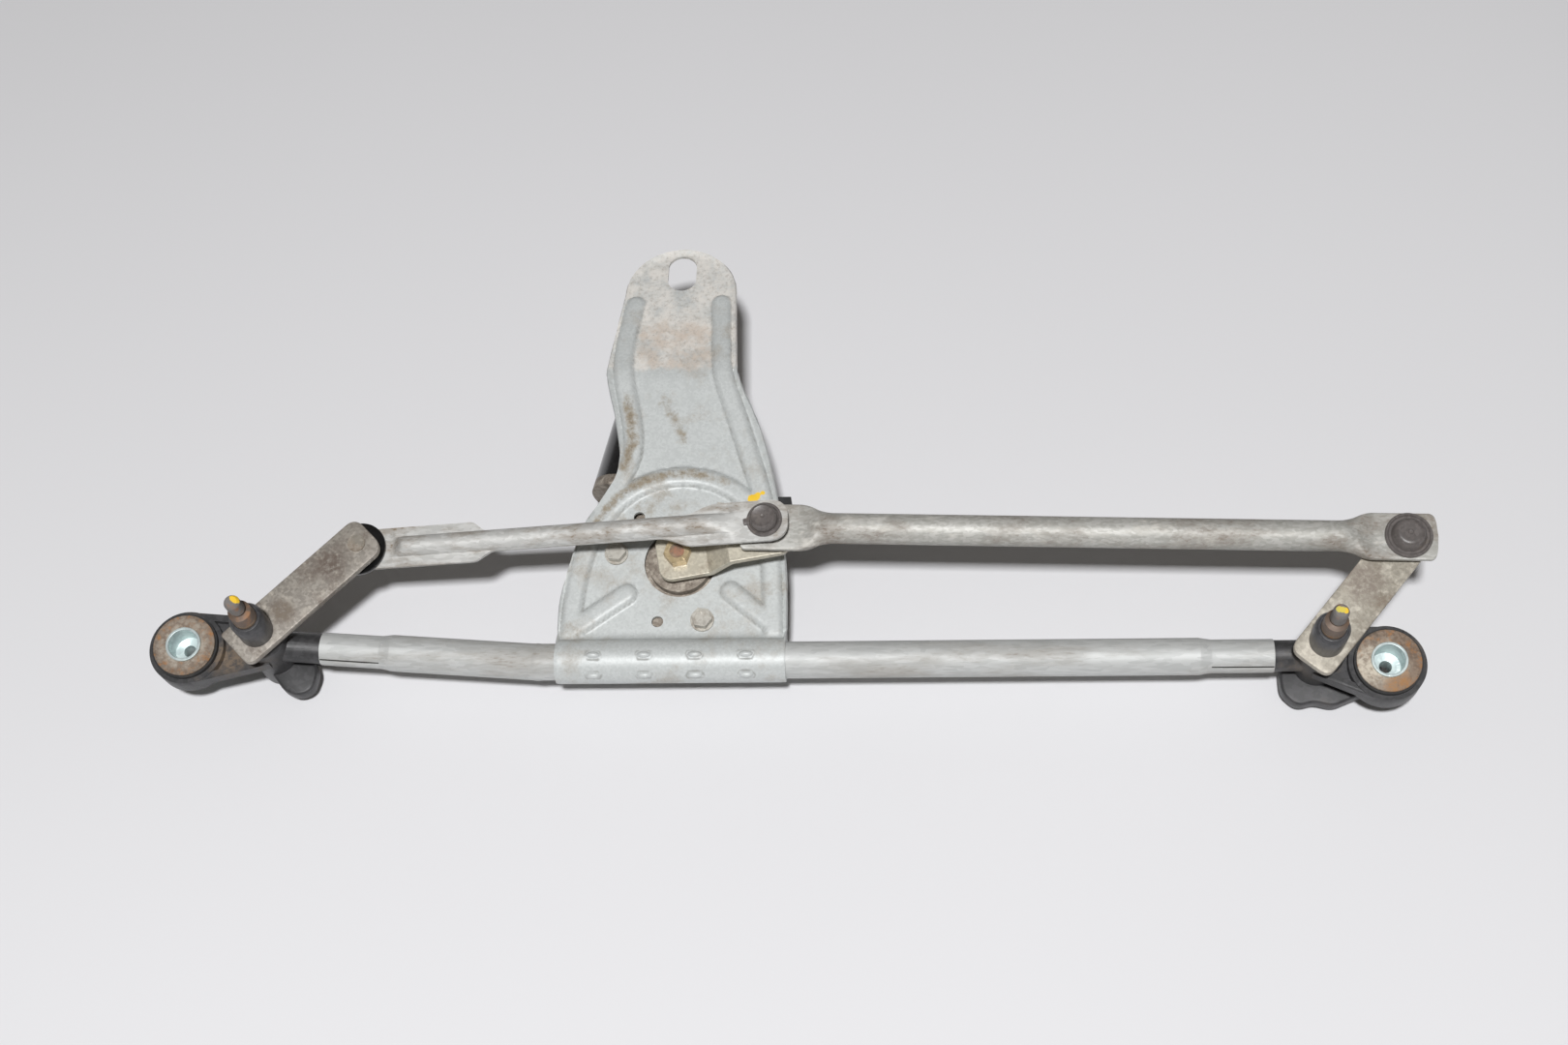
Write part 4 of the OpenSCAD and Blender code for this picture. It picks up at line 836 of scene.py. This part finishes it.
# folded seam along the front of each swaged tube end
seam = dict(radius=9, length=33, lead=0.3, gap=1.4, gapPoints=2, turns=(55.5, 59.5, 61, 64, 76, 80),
            rises=(0.02, 0.08, 0.6, 0.72, 0.6, 0.02), sunk=0.4, steps=16, fadeSteps=4, fade=0.9)
seamEnds = dict(left=(leftShaft, 30.5, -4.2, 1), right=(rightShaft, 24.5, 0, -1))
for side, (shaft, first, turn, way) in seamEnds.items():
    a = math.radians(turn)
    run = Vector((math.cos(a), math.sin(a), 0)) * way
    sideways = Vector((-math.sin(a), math.cos(a), 0))
    ring = [(t, seam["radius"] + rise) for t, rise in zip(seam["turns"], seam["rises"])]
    ring += [(t, seam["radius"] - seam["sunk"]) for t in reversed(seam["turns"])]
    verts, shades = [], []
    for k in range(seam["steps"] + 1):
        base = Vector((shaft.x, shaft.y, 0)) + run * (first + seam["lead"] + seam["length"] * k / seam["steps"])
        sag = 1 - seam["fade"] * eased((k - seam["steps"] + seam["fadeSteps"]) / seam["fadeSteps"])
        for i, (t, r) in enumerate(ring):
            b = math.radians(t)
            r = seam["radius"] + (r - seam["radius"]) * sag if r > seam["radius"] else r
            q = base - sideways * r * math.sin(b) + Vector((0, 0, r * math.cos(b)))
            verts.append(place(q.x, q.y, q.z))
            # the points in the seam's gap carry painted shadow through the seamShade layer
            shades.append(seam["gap"] if i < seam["gapPoints"] else 0)
    piece = shadeSmooth(meshPiece(side + "TubeSeam", verts, ringFaces(seam["steps"] + 1, len(ring))), 40)
    piece.data.attributes.new("seamShade", "FLOAT", "POINT").data.foreach_set("value", shades)
    finishPiece(piece, "frame_body", "tube_zinc")
print("tube seams folded")


# repeated details, as node trees
def newTree(name, sizes):  # a tree with its sizes, a count and a finish as inputs
    tree = bpy.data.node_groups.new(name, "GeometryNodeTree")
    tree.interface.new_socket("Geometry", in_out="OUTPUT", socket_type="NodeSocketGeometry")
    inputs = [(label, "NodeSocketFloat") for label in sizes] + [("Count", "NodeSocketInt"), ("Finish", "NodeSocketMaterial")]
    ids = {}
    for label, kind in inputs:
        ids[label] = tree.interface.new_socket(label, in_out="INPUT", socket_type=kind).identifier
    return tree, tree.nodes.new("NodeGroupInput"), tree.nodes.new("NodeGroupOutput"), ids


def stampRow(tree, entry, leave, instance, gap, axis):  # copies along a line, made real and painted
    line = tree.nodes.new("GeometryNodeMeshLine")
    step = tree.nodes.new("ShaderNodeCombineXYZ")
    stamp = tree.nodes.new("GeometryNodeInstanceOnPoints")
    real = tree.nodes.new("GeometryNodeRealizeInstances")
    paint = tree.nodes.new("GeometryNodeSetMaterial")
    tree.links.new(entry.outputs[gap], step.inputs[axis])
    tree.links.new(entry.outputs["Count"], line.inputs["Count"])
    tree.links.new(step.outputs[0], line.inputs["Offset"])
    tree.links.new(line.outputs[0], stamp.inputs["Points"])
    tree.links.new(instance, stamp.inputs["Instance"])
    tree.links.new(stamp.outputs[0], real.inputs[0])
    tree.links.new(real.outputs[0], paint.inputs["Geometry"])
    tree.links.new(entry.outputs["Finish"], paint.inputs["Material"])
    tree.links.new(paint.outputs[0], leave.inputs[0])
    return stamp


def treeMesh(tree, ids, sizes, finish):
    holder = bpy.data.objects.new("holder", bpy.data.meshes.new("holder"))
    bpy.context.scene.collection.objects.link(holder)
    live = holder.modifiers.new("tree", "NODES")
    live.node_group = tree
    for label, key in ids.items():
        if label == "Finish":
            live[key] = finishes[finish]
        else:
            live[key] = sizes["count"] if label == "Count" else sizes[label.lower()] * mm
    graph = bpy.context.evaluated_depsgraph_get()
    mesh = bpy.data.meshes.new_from_object(holder.evaluated_get(graph))
    holder.modifiers.remove(live)
    bpy.data.objects.remove(holder)
    return mesh


def threadTree():
    tree, entry, leave, ids = newTree("threadRidges", ("Radius", "Ridge", "Pitch"))
    ring = tree.nodes.new("GeometryNodeCurvePrimitiveCircle")
    ring.inputs["Resolution"].default_value = 32
    crest = tree.nodes.new("GeometryNodeCurvePrimitiveCircle")
    crest.inputs["Resolution"].default_value = 4
    sweep = tree.nodes.new("GeometryNodeCurveToMesh")
    tree.links.new(entry.outputs["Radius"], ring.inputs["Radius"])
    tree.links.new(entry.outputs["Ridge"], crest.inputs["Radius"])
    tree.links.new(ring.outputs[0], sweep.inputs["Curve"])
    tree.links.new(crest.outputs[0], sweep.inputs["Profile Curve"])
    stampRow(tree, entry, leave, sweep.outputs[0], "Pitch", "Z")
    return tree, ids


def stakeTree():
    tree, entry, leave, ids = newTree("stakingMarks", ("Length", "Width", "Height", "Spacing"))
    lump = tree.nodes.new("GeometryNodeMeshUVSphere")
    lump.inputs["Segments"].default_value = 24
    lump.inputs["Rings"].default_value = 10
    lump.inputs["Radius"].default_value = 1
    shape = tree.nodes.new("ShaderNodeCombineXYZ")
    for label, axis in (("Length", "X"), ("Width", "Y"), ("Height", "Z")):
        tree.links.new(entry.outputs[label], shape.inputs[axis])
    stamp = stampRow(tree, entry, leave, lump.outputs[0], "Spacing", "X")
    tree.links.new(shape.outputs[0], stamp.inputs["Scale"])
    return tree, ids


def placedMesh(name, mesh, origin, x, y, z):
    turn = Matrix((x, y, z)).transposed().to_4x4()
    mesh.transform(Matrix.Translation(origin) @ turn)
    mesh.polygons.foreach_set("use_smooth", [True] * len(mesh.polygons))
    mesh.name = name
    piece = bpy.data.objects.new(name, mesh)
    bpy.context.scene.collection.objects.link(piece)
    return piece


thread = dict(radius=3.85, ridge=0.42, pitch=1.25, count=8, start=62.4)
ridges, ridgeIds = threadTree()
for side, shaft in (("left", leftShaft), ("right", rightShaft)):
    mesh = treeMesh(ridges, ridgeIds, thread, "shaft_steel")
    piece = placedMesh(side + "ThreadRidges", mesh, place(shaft.x, shaft.y, thread["start"]), across, ahead, out)
    finishPiece(piece, side + "_lever_body", "shaft_steel")

stakeMarks, stakeIds = stakeTree()
for row, turn in enumerate(stakes["turns"]):
    a = math.radians(turn)
    radial = ahead * math.cos(a) + out * math.sin(a)
    mesh = treeMesh(stakeMarks, stakeIds, stakes, "plate_zinc")
    r = plate["clampRadius"] + plate["thickness"] / 2 - stakes["sunk"]
    first = place(stakes["start"], linkage["tubeY"] + r * math.cos(a), r * math.sin(a))
    piece = placedMesh("stakingMarks" + str(row + 1), mesh, first, across, radial.cross(across), radial)
    finishPiece(piece, "frame_body", "plate_zinc")
print("threads and staking marks made")


# soft edges on the hard CAD pieces
weldGap = 0.00001
edges = dict(crank_arm=0.5, crank_nut=0.25, left_pivot_housing=0.8, right_pivot_housing=0.8, left_bush_washer=0.3,
             right_bush_washer=0.3, left_bush_sleeve=0.25, right_bush_sleeve=0.25, motor_bolts=0.3, right_link_crank_socket=0.3,
             left_link_outer_socket=0.4, left_shaft_sleeve=0.4, right_shaft_sleeve=0.4, gear_housing=0.6, connector=0.5)
for name, width in edges.items():
    weld = nodes[name].modifiers.new("weld", "WELD")
    weld.merge_threshold = weldGap
    softBevel(nodes[name], width, 2, 35).harden_normals = True
print("edges softened:", len(edges))

# floor, light and camera
floorSet = dict(size=12, colour=(0.8, 0.8, 0.815), shade=(0.76, 0.76, 0.775), cloud=1.5, rough=0.85)
floorLow = cadBox[0].z
half = floorSet["size"] / 2
floorCorners = [(x * half, y * half, floorLow) for x, y in ((-1, -1), (1, -1), (1, 1), (-1, 1))]
studioFloor = meshPiece("studioFloor", floorCorners, [(0, 1, 2, 3)], False)
floorMat = bpy.data.materials.new("paleFloor")
floorMat.use_nodes = True
floorTree = floorMat.node_tree
floorSkin = floorTree.nodes["Principled BSDF"]
floorCoords = floorTree.nodes.new("ShaderNodeTexCoord")
floorCloud = noiseNode(floorTree, floorCoords.outputs["Object"], floorSet["cloud"], 2, 0.5)
floorTint = mixColour(floorTree, floorCloud, floorSet["shade"], floorSet["colour"])
floorTree.links.new(floorTint, floorSkin.inputs["Base Color"])
floorSkin.inputs["Roughness"].default_value = floorSet["rough"]
floorSkin.inputs["Specular IOR Level"].default_value = 0
studioFloor.data.materials.append(floorMat)

roomLight = dict(colour=(1, 0.94, 0.87), strength=0.1)
world = bpy.data.worlds.new("studio")
bpy.context.scene.world = world
world.use_nodes = True
background = world.node_tree.nodes["Background"]
background.inputs["Color"].default_value = (*roomLight["colour"], 1)
background.inputs["Strength"].default_value = roomLight["strength"]

photoView = dict(aim=(56.7, 23.4, 0), elevation=68.52, azimuth=9.92, roll=-9.96, distance=1257.9, lens=52.33, sensor=36)
aim = place(*photoView["aim"])
e, a, r = (math.radians(photoView[k]) for k in ("elevation", "azimuth", "roll"))
back = (across * math.sin(a) - ahead * math.cos(a)) * math.cos(e) + out * math.sin(e)
level = across * math.cos(a) + ahead * math.sin(a)
right = level * math.cos(r) + back.cross(level) * math.sin(r)
up = back.cross(right)
cameraData = bpy.data.cameras.new("photoCamera")
cameraData.lens = photoView["lens"]
cameraData.sensor_width = photoView["sensor"]
camera = bpy.data.objects.new("photoCamera", cameraData)
cameraTurn = Matrix((right, up, back)).transposed().to_4x4()
camera.matrix_world = Matrix.Translation(aim + back * photoView["distance"] * mm) @ cameraTurn
bpy.context.scene.collection.objects.link(camera)
bpy.context.scene.camera = camera

lamps = dict(
    key=dict(at=(-0.16, 0.44, 3.0), size=0.22, power=92, colour=(0.99, 0.99, 1)),
    fill=dict(at=(-1.1, -1.0, 1.4), size=1.6, power=1.2, colour=(0.95, 0.97, 1)))
for name, lamp in lamps.items():
    data = bpy.data.lights.new(name + "Lamp", "AREA")
    data.size = lamp["size"]
    data.energy = lamp["power"]
    data.color = lamp["colour"]
    light = bpy.data.objects.new(name + "Lamp", data)
    light.location = aim + right * lamp["at"][0] + up * lamp["at"][1] + back * lamp["at"][2]
    light.rotation_mode = "QUATERNION"
    light.rotation_quaternion = (aim - light.location).to_track_quat("-Z", "Y")
    bpy.context.scene.collection.objects.link(light)

bpy.context.scene.view_settings.view_transform = "Standard"
print("stage set")
